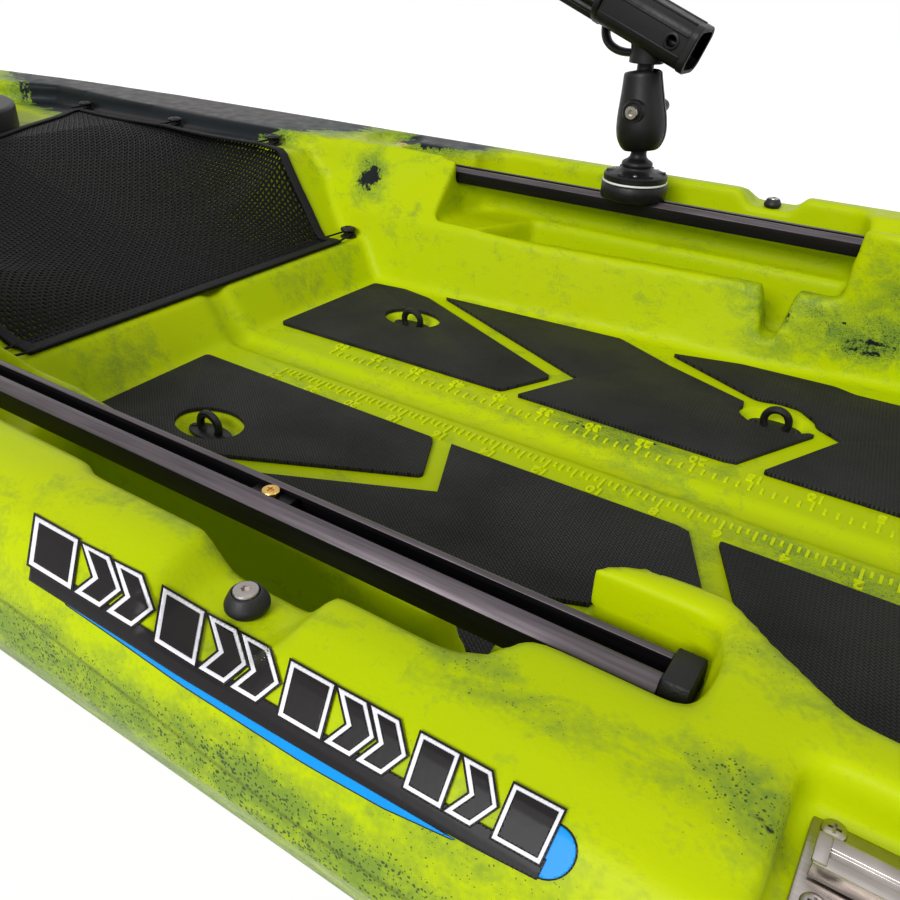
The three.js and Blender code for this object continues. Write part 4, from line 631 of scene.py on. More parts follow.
def refined(cad_node):
    """Copy of a CAD solid with each flat face whole again."""
    shape = bmesh.new()
    shape.from_mesh(frame["nodes"][cad_node].data)
    bmesh.ops.remove_doubles(shape, verts=shape.verts, dist=1e-6)
    bmesh.ops.dissolve_limit(shape, angle_limit=0.03, verts=shape.verts, edges=shape.edges)
    return shape


for side_name in ("port", "starboard"):
    for part in ("front", "middle", "rear", "seat"):
        pad = refined(f"deck_pad_{part}_{side_name}")
        bevelled(pad, upright_edges(pad, 0.002), pad_corner, 4)
        broken(pad, pad_edge)
        fitted(pad, f"foam_pad_{part}_{side_name}", deck_foam, "boat", "deck_foam",
               f"deck_pad_{part}_{side_name}")

# Strap eyes: nylon loops, each moulded in one with an oval foot. They stand in pockets of the
# deck, and two screws through the foot hold each one.
eye_places = [(-0.58393, 0.15822), (-0.16206, 0.165)]
eye_foot_level, eye_foot_high = 0.1813, 0.004
eye_half_length, eye_half_width = 0.025, 0.012
eye_loop, eye_wire_radius = 0.0115, 0.0037
eye_screw_reach, eye_screw_radius = 0.0200, 0.0028
both_sides = (("port", -1), ("starboard", 1))

black_plastic, tree, shader, place = surface("black_nylon", (15, 15, 17), 0.40, Specular_IOR_Level=0.26)
shade = drift(tree, place, 40, 4.0)
coloured(tree, shader, mixed(tree, shade, (12, 12, 13), (19, 19, 21)))
roughened(tree, shader, drift(tree, place, 150, 3.0, 0.36, 0.50))
relief(tree, shader, noise_at(tree, place, 1100, 3.0), 0.00012)

stainless, tree, shader, place = surface("stainless_steel", (164, 156, 152), 0.30, Metallic=1.0)
brushed = noise_at(tree, place, 900, 3.0, (0.06, 1.0, 1.0))
roughened(tree, shader, ramp(tree, brushed, 0.3, 0.7, 0.24, 0.38))
coloured(tree, shader, mixed(tree, drift(tree, place, 60, 3.0), (172, 165, 161), (148, 141, 137)))
relief(tree, shader, brushed, 0.00003)


def spun(profile, steps=48):
    """Turned solid about Z from a line of (radius, height)."""
    shape = bmesh.new()
    line = [shape.verts.new((radius, 0, height)) for radius, height in profile]
    joints = [shape.edges.new(pair) for pair in zip(line, line[1:])]
    bmesh.ops.spin(shape, geom=line + joints, cent=(0, 0, 0), axis=(0, 0, 1), angle=2 * math.pi,
                   steps=steps, use_merge=True)
    bmesh.ops.remove_doubles(shape, verts=shape.verts, dist=1e-6)
    bmesh.ops.recalc_face_normals(shape, faces=shape.faces)
    return shape


def rod(radius, low, high, steps):
    """Plain round bar about Z."""
    return spun([(0, low), (radius, low), (radius, high), (0, high)], steps)


def bent(points, radius, steps=6):
    """Line of points with each inner corner rounded, by a share of the way to its neighbours."""
    corners = [Vector(point) for point in points]
    made = [corners[0]]
    for before, corner, after in zip(corners, corners[1:], corners[2:]):
        start = corner + (before - corner).normalized() * min(radius, (before - corner).length * 0.49)
        stop = corner + (after - corner).normalized() * min(radius, (after - corner).length * 0.49)
        for share in np.linspace(0, 1, steps):
            made.append(start.lerp(corner, share).lerp(corner.lerp(stop, share), share))
    return made + [corners[-1]]


def wire(points, radius, fineness=3):
    """Round bar along a line of points, with closed ends."""
    line = bpy.data.curves.new("bar", "CURVE")
    line.dimensions, line.use_fill_caps = "3D", True
    line.bevel_depth, line.bevel_resolution = radius, fineness
    run = line.splines.new("POLY")
    run.points.add(len(points) - 1)
    for point, at in zip(run.points, points):
        point.co = (*at, 1)
    holder = bpy.data.objects.new("bar", line)
    mesh = bpy.data.meshes.new_from_object(holder)
    shape = bmesh.new()
    shape.from_mesh(mesh)
    bpy.data.objects.remove(holder)
    bpy.data.meshes.remove(mesh)
    bmesh.ops.remove_doubles(shape, verts=shape.verts, dist=1e-6)
    bmesh.ops.recalc_face_normals(shape, faces=shape.faces)
    return shape


def dome_screw(radius, height, *recess):
    """Screw head with a soft dome; each recess is a tool with its top at the origin."""
    head = spun([(0, -height), (radius * 0.96, -height), (radius, 0), (radius * 0.93, height * 0.45),
                 (radius * 0.70, height * 0.80), (radius * 0.40, height * 0.96), (0, height)], 28)
    return carved(head, *[moved(tool, (0, 0, height)) for tool in recess])


def cross_recess(reach, depth):
    """Cross driver recess: two tapered slots."""
    tools = []
    for turn in (0, math.pi / 2):
        slot = brick((-reach, -reach * 0.17, -depth), (reach, reach * 0.17, depth))
        for vert in slot.verts:
            if vert.co.z < 0:
                vert.co.x *= 0.55
        tools.append(moved(slot, turn=Matrix.Rotation(turn, 4, "Z")))
    return tools


def hex_recess(reach, depth):
    """Hexagon socket."""
    socket = bmesh.new()
    bmesh.ops.create_cone(socket, cap_ends=True, segments=6, radius1=reach, radius2=reach, depth=2 * depth)
    return socket


for side_name, side in both_sides:
    for number, (x, y) in enumerate(eye_places, 1):
        foot = rod(eye_half_length, 0, eye_foot_high, 40)
        bmesh.ops.scale(foot, vec=(1, eye_half_width / eye_half_length, 1), verts=foot.verts)
        broken(foot, 0.0012)
        loop = [(eye_loop * math.cos(angle), 0, eye_foot_high + eye_loop * (0.5 + math.sin(angle)))
                for angle in np.linspace(-0.7, math.pi + 0.7, 29)]
        screws = [moved(spun([(0, 0), (eye_screw_radius, 0), (eye_screw_radius * 0.8, 0.0011), (0, 0.0014)],
                             16), (reach, 0, eye_foot_high))
                  for reach in (-eye_screw_reach, eye_screw_reach)]
        eye = moved(joined(foot, wire(loop, eye_wire_radius), *screws), (x, side * y, eye_foot_level))
        fitted(eye, f"deck_eye_{side_name}_{number}", black_plastic, "boat", "black_plastic",
               f"strap_eye_{side_name}_{number}")

# Bow hatch: a nylon ring screwed into the hole in the bow ledge, with a rubber seal on it, and
# a moulded black lid that turns a quarter to lock.
ledge_top = 0.330
hatch_spot = (-1.36394, 0, 0)
lid_radius, lid_foot, lid_rise, lid_wall = 0.165, 0.3306, 0.031, 0.008
thread_inside, thread_outside, thread_foot, thread_top = 0.1197, 0.1267, 0.3193, 0.3399
rim_inside, rim_outside = 0.146, 0.158
ring_wall, ring_outer, ring_flange = 0.1287, 0.1337, 0.152
ring_low, ring_seat, ring_high = ledge_top - 0.0217, ledge_top + 0.0003, ledge_top + 0.0053
seal_middle, seal_radius, seal_level = 0.140, 0.002, 0.3376

rubber, tree, shader, place = surface("black_rubber", (16, 16, 18), 0.50, Specular_IOR_Level=0.35)
coloured(tree, shader, mixed(tree, drift(tree, place, 120, 3.0), (14, 14, 15), (24, 24, 26)))
relief(tree, shader, noise_at(tree, place, 800, 3.0), 0.00012)

ring = spun([(ring_wall, ring_low), (ring_outer, ring_low), (ring_outer, ring_seat),
             (ring_flange, ring_seat), (ring_flange, ring_high), (ring_wall, ring_high),
             (ring_wall, ring_low)], 96)
fitted(moved(broken(ring, 0.0009), hatch_spot), "hatch_ring", black_plastic, "boat", "black_plastic",
       "bow_hatch_ring")
seal = spun([(seal_middle + seal_radius * math.cos(angle), seal_level + seal_radius * math.sin(angle))
             for angle in np.linspace(0, 2 * math.pi, 13)], 96)
fitted(moved(seal, hatch_spot), "hatch_seal", rubber, "boat", "black_rubber", "bow_hatch_seal")

lid_top = lid_foot + lid_rise
lid_black, tree, shader, place = surface("lid_black", (36, 34, 34), 0.50, Specular_IOR_Level=0.13)
cloud = ramp(tree, noise_at(tree, place, 16, 5.0), 0.3, 0.72)
coloured(tree, shader, mixed(tree, cloud, (40, 38, 38), (31, 30, 30)))
scuffs = ramp(tree, noise_at(tree, place, 240, 5.0, (1.0, 0.25, 1.0)), 0.60, 0.72, 0.44, 0.58)
roughened(tree, shader, scuffs)
relief(tree, shader, noise_at(tree, place, 900, 3.0), 0.00014)
lid_under = lid_top - lid_wall
lid = spun([(0, lid_under), (thread_inside, lid_under), (thread_inside, thread_foot),
            (thread_outside, thread_foot), (thread_outside, thread_top), (rim_inside, thread_top),
            (rim_inside, lid_under), (rim_outside, lid_under), (rim_outside, lid_foot),
            (lid_radius, lid_foot), (lid_radius, lid_top - 0.0045), (lid_radius - 0.0005, lid_top - 0.0022),
            (lid_radius - 0.0025, lid_top - 0.0003), (lid_radius - 0.006, lid_top),
            (0.06, lid_top - 0.0006), (0, lid_top - 0.0008)], 128)
fitted(moved(lid, hatch_spot), "hatch_lid", lid_black, "hatch_lid", "black_plastic", "bow_hatch_lid",
       crisp=0.9)

# Mesh cover: one sheet of knitted black netting stretched over the bow well, turned over a
# webbing hem, with cord loops that go round eight black knobs screwed to the hull.
cover_rows, cover_columns = 90, 82
strand = 0.00152
netting_thick = 0.0011
riser_top = 0.23805
ramp_foot, ledge_start, cover_aft = -0.7708, -0.86104, -0.74072
well_sides = [(-0.7614, 0.2218), (-0.80088, 0.23664), (-0.86104, 0.25195), (-0.90804, 0.25798),
              (-1.27464, 0.26216)]
well_front = [(0.02784, -1.1844), (0.05986, -1.19944), (0.12018, -1.23516), (0.19998, -1.27464),
              (0.24592, -1.30472)]
cover_sag, hem_width, hem_thick = 0.008, 0.011, 0.0024
cover_over, cover_lift, front_gap = 0.008, 0.0014, 0.0045
well_top, well_deep, wall_draft = 0.335, 0.1296, 0.014
stretch_length, front_ease, aft_ease = 0.44368, 12, 20
cell_shift, knot_rise = 0.22, 0.0005
hook_places = [(-0.75294, 0.24894, riser_top), (-0.90804, 0.28118, ledge_top),
               (-1.10544, 0.28118, ledge_top), (-1.31412, 0.28118, ledge_top)]
knob_radius, knob_height = 0.0105, 0.013
knob_waist, knob_socket, knob_lift = 0.62, 0.0118, 0.0003
cord_level, cord_inset, cord_spread, cord_start = 0.0055, 0.006, 0.013, 0.0042
scallop = 0.0075
loop_cord = 0.0013

netting, tree, shader, place = surface("black_netting", (7, 7, 8), 0.60, Specular_IOR_Level=0.06)
fibre = noise_at(tree, place, 1800, 2.0, (1.0, 0.3, 1.0))
coloured(tree, shader, mixed(tree, ramp(tree, fibre, 0.3, 0.7), (4, 4, 5), (15, 15, 16)))
roughened(tree, shader, ramp(tree, noise_at(tree, place, 700, 2.0), 0.4, 0.7, 0.38, 0.62))
relief(tree, shader, fibre, 0.0002)


def facing_up(sheet):
    """Turns the faces of an open sheet upwards."""
    bmesh.ops.recalc_face_normals(sheet, faces=sheet.faces)
    if sum(face.normal.z for face in sheet.faces) < 0:
        bmesh.ops.reverse_faces(sheet, faces=sheet.faces)


def between(table, at):
    """Value in a table of (place, value) rows at a place along it."""
    rows = sorted(table)
    return float(np.interp(at, [row[0] for row in rows], [row[1] for row in rows]))


def edge_height(x):
    """Level of the hull under the cover's edge: deck riser, then the ramp, then the ledge."""
    return float(np.interp(x, [ledge_start, ramp_foot], [ledge_top, riser_top]))


def cover_half(x):
    """Half width of the cover, a little wider than the well below it."""
    hung = scallop * abs(math.sin(math.pi * np.interp(-x, [-place[0] for place in hook_places], range(4))))
    return between(well_sides, x) - wall_draft * (well_top - edge_height(x)) / well_deep + cover_over - hung


def on_cover(forward, across):
    """Place on the stretched sheet: shares from its aft edge to its front, and across from -1 to 1."""
    x = cover_aft
    for _ in range(5):
        front = between(well_front, abs(across) * cover_half(x)) - front_gap
        x = cover_aft + forward * (front - cover_aft)
    run = min((cover_aft - x) / stretch_length, 1)
    taut = riser_top + (ledge_top - riser_top) * run - cover_sag * math.sin(math.pi * run)
    edge = edge_height(x)
    lift = (1 - abs(across) ** 3) * min(1, (1 - forward) * front_ease) * min(1, forward * aft_ease)
    return Vector((x, across * cover_half(x), edge + (taut - edge) * lift + cover_lift))


net = bmesh.new()
bmesh.ops.create_grid(net, x_segments=cover_rows, y_segments=cover_columns, size=1)
for vert in net.verts:
    row = round((vert.co.x + 1) / 2 * cover_rows)
    column = round((vert.co.y + 1) / 2 * cover_columns)
    inner = 0 < row < cover_rows and 0 < column < cover_columns
    shift = (cell_shift if (row + column) % 2 else -cell_shift) / cover_columns * 2 if inner else 0
    vert.co = on_cover((vert.co.x + 1) / 2, vert.co.y + shift)
facing_up(net)
flat_area = sum(face.calc_area() for face in net.faces)
cells = net.faces[:]
knots = net.verts[:]
bmesh.ops.inset_individual(net, faces=cells, thickness=strand, depth=0, use_even_offset=True)
for vert in knots:
    vert.co.z += knot_rise
bmesh.ops.delete(net, geom=cells, context="FACES_ONLY")
cover = fitted(net, "net_cover", netting, "boat", "netting", "mesh_cover", crisp=1.2)
yarn = cover.modifiers.new("yarn", "SOLIDIFY")
yarn.thickness, yarn.offset = netting_thick, 0.0

webbing, tree, shader, place = surface("black_webbing", (18, 18, 20), 0.60, Specular_IOR_Level=0.12)
weave = node(tree, "TexWave", {"bands_direction": "DIAGONAL"}, Vector=place, Scale=330, Distortion=1.5,
             Detail=2.0).outputs["Fac"]
coloured(tree, shader, mixed(tree, weave, (13, 13, 14), (30, 30, 32)))
relief(tree, shader, weave, 0.0003)

rim = [on_cover(share, -1) for share in np.linspace(0, 1, 60)]
rim += [on_cover(1, across) for across in np.linspace(-1, 1, 60)[1:]]
rim += [on_cover(share, 1) for share in np.linspace(1, 0, 60)[1:]]
rim += [on_cover(0, across) for across in np.linspace(1, -1, 50)[1:-1]]
middle = sum(rim, Vector()) / len(rim)
band = bmesh.new()
outside, inside = [], []
for before, at, after in zip(rim[-1:] + rim[:-1], rim, rim[1:] + rim[:1]):
    inward = Vector((0, 0, 1)).cross(after - before).normalized()
    if inward.dot(middle - at) < 0:
        inward = -inward
    outside.append(band.verts.new(at + Vector((0, 0, 0.0008)) - 0.0005 * inward))
    inside.append(band.verts.new(at + hem_width * inward + Vector((0, 0, 0.0016))))
loops = [[band.edges.new((a, b)) for a, b in zip(ring, ring[1:] + ring[:1])] for ring in (outside, inside)]
bmesh.ops.bridge_loops(band, edges=loops[0] + loops[1])
bmesh.ops.subdivide_edges(band, edges=[e for e in band.edges
                                       if (e.verts[0] in outside) != (e.verts[1] in outside)], cuts=3)
facing_up(band)
hem = fitted(band, "net_hem", webbing, "boat", "netting", crisp=1.2)
stuff = hem.modifiers.new("webbing", "SOLIDIFY")
stuff.thickness, stuff.offset = hem_thick, 1.0

loop_cords = bmesh.new()
for side_name, side in both_sides:
    for number, (x, y, level) in enumerate(hook_places, 1):
        waist = knob_radius * knob_waist
        knob = spun([(0, 0), (knob_radius, 0), (knob_radius, 0.0012), (waist, 0.0038), (waist, 0.0068),
                     (knob_radius * 0.95, 0.0088), (knob_radius, 0.0100), (knob_radius * 0.93, 0.0115),
                     (knob_radius * 0.55, knob_height), (knob_radius * 0.35, knob_height),
                     (knob_radius * 0.3, knob_socket), (0, knob_socket)], 32)
        fitted(moved(knob, (x, side * y, level + knob_lift)), f"cover_knob_{side_name}_{number}",
               black_plastic, "boat", "black_plastic", f"mesh_hook_{side_name}_{number}", crisp=0.9)
        grip = waist + loop_cord
        hold = cover_half(x) - cord_inset
        round_knob = [(x + grip * math.cos(angle), side * (y + grip * math.sin(angle)), level + cord_level)
                      for angle in np.linspace(-0.3, math.pi + 0.3, 15)]
        ends = [(x + way * cord_spread, side * hold, edge_height(x) + cord_start) for way in (1, -1)]
        joined(loop_cords, wire([ends[0], *round_knob, ends[1]], loop_cord, 2))
cords = fitted(loop_cords, "net_loops", webbing, "boat", "netting", crisp=1.2)

# Gear tracks: black anodised rails let into the gunwales, with a T slot along the top, a
# moulded plug cap at the stern end, and a brass screw in a nut that slides in the port one.
track_line = 0.346
nut_spot = -0.31509
insert_spot, insert_seat = (-0.7530, 0.3690), 0.338
crest_foot, crest_slope = 0.322, 0.35
slot_floor, slot_ceiling, shank_foot = 0.3178, 0.3254, 0.3181
nut_half_length, nut_half_width = 0.013, 0.00776


def anodised(name, low, high, roughness):
    """Black anodised aluminium with the fine lines of the die along it."""
    material, tree, shader, place = surface(name, low, roughness, Metallic=0.6, Specular_IOR_Level=0.3)
    drawn = noise_at(tree, place, 700, 3.0, (0.03, 1.0, 1.0))
    coloured(tree, shader, mixed(tree, ramp(tree, drawn, 0.3, 0.7), low, high))
    rub = noise_at(tree, place, 25, 4.0, (0.3, 1.0, 1.0))
    roughened(tree, shader, ramp(tree, rub, 0.3, 0.7, roughness - 0.06, roughness + 0.08))
    relief(tree, shader, drawn, 0.00004)
    return material


track_metal = anodised("black_anodised", (22, 20, 21), (34, 31, 32), 0.36)
# A lighter copy of the anodised metal for the rail's upward faces: a painted highlight.
track_highlight = anodised("anodised_painted_highlight", (70, 64, 68), (94, 86, 91), 0.40)

brass, tree, shader, place = surface("brass", (206, 168, 96), 0.26, Metallic=1.0)
coloured(tree, shader, mixed(tree, drift(tree, place, 260, 3.0), (218, 182, 108), (178, 138, 70)))
roughened(tree, shader, drift(tree, place, 500, 2.0, 0.20, 0.36))

for side_name, side in both_sides:
    rail = broken(refined(f"{side_name}_track"), 0.0005)
    rail.normal_update()
    # Faces that look up near the top of each rail take the lighter copy, as painted highlight.
    crest = [face.normal.z > crest_slope and face.calc_center_median().z > crest_foot
             for face in rail.faces]
    laid_rail = fitted(rail, f"gear_track_{side_name}", track_metal, "boat", "track_metal",
                       f"{side_name}_track")
    laid_rail.data.materials.append(track_highlight)
    laid_rail.data.polygons.foreach_set("material_index", [int(high) for high in crest])
    cap = broken(refined(f"{side_name}_track_cap"), 0.0009)
    fitted(cap, f"track_plug_{side_name}", black_plastic, "boat", "black_plastic", f"{side_name}_track_cap")

slider = broken(brick((nut_spot - nut_half_length, -track_line - nut_half_width, slot_floor),
                      (nut_spot + nut_half_length, -track_line + nut_half_width, slot_ceiling)), 0.0008)
shank = rod(0.0030, shank_foot, 0.3282, 24)
shank = moved(shank, (nut_spot, -track_line, 0))
cap_screw = moved(dome_screw(0.0047, 0.0010, *cross_recess(0.0030, 0.0010)),
                  (nut_spot, -track_line, 0.3284))
fitted(joined(shank, cap_screw), "port_slot_nut", brass, "track_nut", "brass", "port_track_nut")
fitted(slider, "port_slot_nut_body", track_metal, "track_nut", "brass")

for side_name, side in both_sides:
    bush = spun([(0.0042, -0.004), (0.0075, -0.004), (0.0075, 0.0006), (0.0064, 0.0012), (0.0042, 0.0012),
                 (0.0042, -0.004)], 36)
    bolt = carved(spun([(0, -0.003), (0.0040, -0.003), (0.0040, 0.0016), (0.0028, 0.0023), (0, 0.0025)],
                       28), moved(hex_recess(0.0019, 0.0012), (0, 0, 0.0025)))
    insert = moved(joined(bush, bolt), (insert_spot[0], side * insert_spot[1], insert_seat))
    fitted(insert, f"gunwale_insert_{side_name}", brass, "boat", "brass")

# Paddle bumpers: turned rubber cones that stand in the gunwale notches, one each side. A
# stainless socket screw down the middle holds each one.
bumper_spot, bumper_seat = (-0.26226, 0.41482), 0.3273
bumper_foot, bumper_top, bumper_high = 0.0096, 0.0068, 0.0095
screw_radius = 0.0056

for side_name, side in both_sides:
    cone = spun([(0.0026, 0), (0.0080, 0), (bumper_foot, 0.0022), (bumper_foot, 0.0040),
                 (bumper_foot * 0.96, 0.0050), (bumper_top + 0.0004, bumper_high - 0.0006),
                 (bumper_top - 0.0003, bumper_high), (0.0060, bumper_high), (0.0059, 0.0076),
                 (0.0026, 0.0076), (0.0026, 0)], 48)
    fitted(moved(cone, (bumper_spot[0], side * bumper_spot[1], bumper_seat)), f"rubber_bumper_{side_name}",
           rubber, "boat", "black_rubber", f"{side_name}_bumper", crisp=0.9)
    stem = rod(0.0021, 0.0005, 0.0078, 20)
    head = carved(spun([(0, 0.0077), (screw_radius, 0.0077), (screw_radius, 0.0098),
                        (screw_radius * 0.93, 0.0104), (screw_radius * 0.6, 0.0108), (0, 0.0109)], 40),
                  moved(hex_recess(0.0021, 0.0014), (0, 0, 0.0109)))
    screw = moved(joined(stem, head), (bumper_spot[0], side * bumper_spot[1], bumper_seat))
    fitted(screw, f"bumper_bolt_{side_name}", stainless, "boat", "stainless", f"{side_name}_bumper_screw")

# Rod holder: glass-filled nylon on the starboard track. A puck clamps to the track with a
# T-bolt; a ball stud swivels on it, and two clamp halves squeeze both balls with one bolt.
rod_x, rod_y = -0.40495, 0.346
puck_radius, puck_foot, puck_top = 0.0375, 0.3293, 0.3463
washer_radius, washer_foot, washer_top = 0.03685, 0.3466, 0.3486
disc_foot, disc_top, disc_radius = 0.3489, 0.3589, 0.036
lower_ball, lower_radius = 0.3951, 0.016
arm_lean, arm_span, upper_radius, ball_room = math.radians(7), 0.052, 0.014, 0.0012
arm_radius, arm_high, arm_low = 0.028, 0.08532, 0.01632
swing_foot, swing_high, mouth_half, mouth_flare = -0.0327, -0.00816, 0.0114, 0.0238
arm_line = [(0, 0), (0.5, 0), (0.76, 0.05), (0.94, 0.16), (1, 0.28), (0.97, 0.45), (0.86, 0.66),
            (0.76, 0.88), (0.72, 1), (0, 1)]
clamp_level, half_split, arm_clear = 0.0284, 0.0015, 0.1
bolt_face = 0.0274
knob_start, knob_deep = 0.0283, 0.014
tube_half, tube_corner, tube_wall = 0.0235, 0.013, 0.004
tube_bow, tube_stern, tube_rise, tube_over = -0.053, 0.059, math.radians(22), 0.061
neck_plate, neck_radius, neck_foot = 0.0185, 0.009, 0.0234
collar_start, collar_long, collar_ribs = -0.0533, 0.058, 14
side_hole, side_hole_back = 0.008, 0.024
eyelet_inside = side_hole * 0.72

to_arm = Matrix.Translation((rod_x, rod_y, lower_ball)) @ Matrix.Rotation(-arm_lean, 4, "Y")
to_holder = to_arm @ Matrix.Translation((0, 0, arm_span)) @ Matrix.Rotation(arm_lean, 4, "Y")
to_tube = to_holder @ Matrix.Translation((0, 0, tube_over)) @ Matrix.Rotation(tube_rise, 4, "Y")
lay_along = Matrix.Rotation(math.pi / 2, 4, "Y")
lay_port = Matrix.Rotation(math.pi / 2, 4, "X")
to_clamp = to_arm @ Matrix.Translation((0, 0, clamp_level)) @ lay_port


def prism(outline, low, high):
    """Straight-sided solid over an outline of (x, y)."""
    shape = bmesh.new()
    floor = shape.faces.new([shape.verts.new((x, y, low)) for x, y in outline])
    risen = bmesh.ops.extrude_face_region(shape, geom=[floor])["geom"]
    bmesh.ops.translate(shape, verts=[v for v in risen if isinstance(v, bmesh.types.BMVert)],
                        vec=(0, 0, high - low))
    bmesh.ops.recalc_face_normals(shape, faces=shape.faces)
    return shape


def eased(points, times=2):
    """Line of points with its corners cut, keeping both ends."""
    for _ in range(times):
        made = [points[0]]
        for (a, b), (c, d) in zip(points, points[1:]):
            made += [(a * 0.75 + c * 0.25, b * 0.75 + d * 0.25), (a * 0.25 + c * 0.75, b * 0.25 + d * 0.75)]
        points = made + [points[-1]]
    return points


def globe(radius, at=(0, 0, 0)):
    shape = bmesh.new()
    bmesh.ops.create_uvsphere(shape, u_segments=40, v_segments=24, radius=radius,
                              matrix=Matrix.Translation(at))
    return shape


def rounded_square(half, corner, steps=9):
    """Outline of a square with round corners."""
    made = []
    for number, (x, y) in enumerate(((1, 1), (-1, 1), (-1, -1), (1, -1))):
        for angle in np.linspace(number * math.pi / 2, (number + 1) * math.pi / 2, steps):
            made.append((x * (half - corner) + corner * math.cos(angle),
                         y * (half - corner) + corner * math.sin(angle)))
    return made


puck = spun([(0, puck_foot), (puck_radius - 0.001, puck_foot), (puck_radius, puck_foot + 0.001),
             (puck_radius, puck_top - 0.0018), (puck_radius - 0.0018, puck_top), (0, puck_top)], 72)
puck_bolt = rod(0.0034, shank_foot, puck_foot + 0.004, 20)
bolt_foot = broken(brick((-0.007, -0.007, slot_floor), (0.007, 0.007, slot_ceiling)), 0.0006)
fitted(moved(joined(puck, puck_bolt, bolt_foot), (rod_x, rod_y, 0)), "holder_base", black_plastic,
       "rod_slide_base", "black_plastic", "rod_base", crisp=0.9)
white_plastic, tree, shader, place = surface("white_acetal", (238, 238, 234), 0.34)
coloured(tree, shader, mixed(tree, drift(tree, place, 150, 2.0), (240, 240, 237), (226, 226, 220)))
relief(tree, shader, noise_at(tree, place, 700, 2.0), 0.00005)
washer = broken(rod(washer_radius, washer_foot, washer_top, 72), 0.0004)
fitted(moved(washer, (rod_x, rod_y, 0)), "holder_ring", white_plastic, "rod_slide_base", "white_plastic",
       "rod_base_ring")

stud = spun([(0, disc_foot), (disc_radius, disc_foot), (disc_radius, disc_top - 0.0042),
             (disc_radius - 0.0012, disc_top - 0.0030), (disc_radius - 0.005, disc_top - 0.0018),
             (0.0222, disc_top), (0.0196, disc_top + 0.0008), (0.0176, disc_top + 0.0022),
             (0.0172, disc_top + 0.0032), (0.0166, disc_top + 0.0040), (0.0175, disc_top + 0.0054),
             (0.0177, disc_top + 0.0072), (0.0170, disc_top + 0.0092), (0.0150, disc_top + 0.0108),
             (0.0118, disc_top + 0.0126), (0.0096, disc_top + 0.0150), (0.0088, disc_top + 0.0185),
             (0.0090, disc_top + 0.0225), (0.0090, lower_ball), (0, lower_ball)], 64)
tabs = []
for number in range(6):
    tab = broken(brick((0.0205, -0.0038, disc_top - 0.0045), (0.0335, 0.0038, disc_top - 0.0002)), 0.0008)
    tabs.append(moved(tab, turn=Matrix.Rotation(number * math.pi / 3 + 0.35, 4, "Z")))
fitted(moved(joined(stud, globe(lower_radius, (0, 0, lower_ball)), *tabs), (rod_x, rod_y, 0)),
       "holder_stud", black_plastic, "rod_stud", "black_plastic", "rod_ball_stud", crisp=0.7)
stud_screws = bmesh.new()
for number in range(3):
    screw = dome_screw(0.0026, 0.0011, *cross_recess(0.0016, 0.0009))
    angle = number * 2 * math.pi / 3 + 0.87
    joined(stud_screws, moved(screw, (0.0275 * math.cos(angle), 0.0275 * math.sin(angle),
                                      disc_top - 0.0012)))
fitted(moved(stud_screws, (rod_x, rod_y, 0)), "holder_stud_screws", stainless, "rod_stud", "stainless")

for name, side in (("front", -1), ("rear", 1)):
    shell = spun([(radius * arm_radius, height * arm_high - arm_low) for radius, height in eased(arm_line)],
                 56)
    other = brick((-0.1, min(-side * arm_clear, side * half_split), -0.1),
                  (0.1, max(-side * arm_clear, side * half_split), 0.2))
    swing = spun([(0, swing_foot), (0.02565, swing_foot), (0.0171, swing_high), (0, swing_high)], 48)
    mouth = moved(prism([(-mouth_half, 0.052), (mouth_half, 0.052), (mouth_half + mouth_flare, 0.103),
                         (-mouth_half - mouth_flare, 0.103)], -mouth_half, mouth_half),
                  turn=lay_port)
    shell = carved(shell, other, globe(lower_radius + ball_room),
                   globe(upper_radius + ball_room, (0, 0, arm_span)), swing, mouth)
    if side < 0:
        boss = spun([(0.0034, -0.004), (0.0150, -0.004), (0.0136, 0.0010), (0.0126, 0.0034),
                     (0.0120, 0.0052), (0.0112, 0.0060), (0.0094, 0.0060), (0.0088, 0.0052),
                     (0.0034, 0.0052), (0.0034, -0.004)], 48)
        boss = moved(moved(boss, (0, 0, bolt_face - 0.0060)), (0, 0, clamp_level), lay_port)
        shell = joined(shell, boss)
    fitted(moved(shell, turn=to_arm), f"holder_arm_{name}", black_plastic, "rod_arm", "black_plastic",
           f"rod_arm_{name}", crisp=0.7)

socket_head = carved(spun([(0, bolt_face - 0.0006), (0.0070, bolt_face - 0.0006),
                           (0.0070, bolt_face + 0.0040), (0.0064, bolt_face + 0.0050),
                           (0, bolt_face + 0.0050)], 40),
                     moved(hex_recess(0.0034, 0.0030), (0, 0, bolt_face + 0.0050)))
bolt_shank = rod(0.0027, -0.0390, bolt_face, 24)
fitted(moved(joined(socket_head, bolt_shank), turn=to_clamp),
       "holder_bolt", stainless, "rod_arm", "stainless", "rod_arm_bolt")

lobed = []
for angle in np.linspace(0, 2 * math.pi, 72, endpoint=False):
    reach = 0.0136 + 0.0032 * math.cos(3 * angle)
    lobed.append((reach * math.cos(angle), reach * math.sin(angle)))
knob = carved(broken(prism(lobed, -knob_start - knob_deep, -knob_start), 0.0022, 3),
              rod(0.0034, -0.06, 0, 24))
fitted(moved(knob, turn=to_clamp), "holder_knob", black_plastic,
       "rod_knob", "black_plastic", "rod_arm_knob", crisp=0.8)

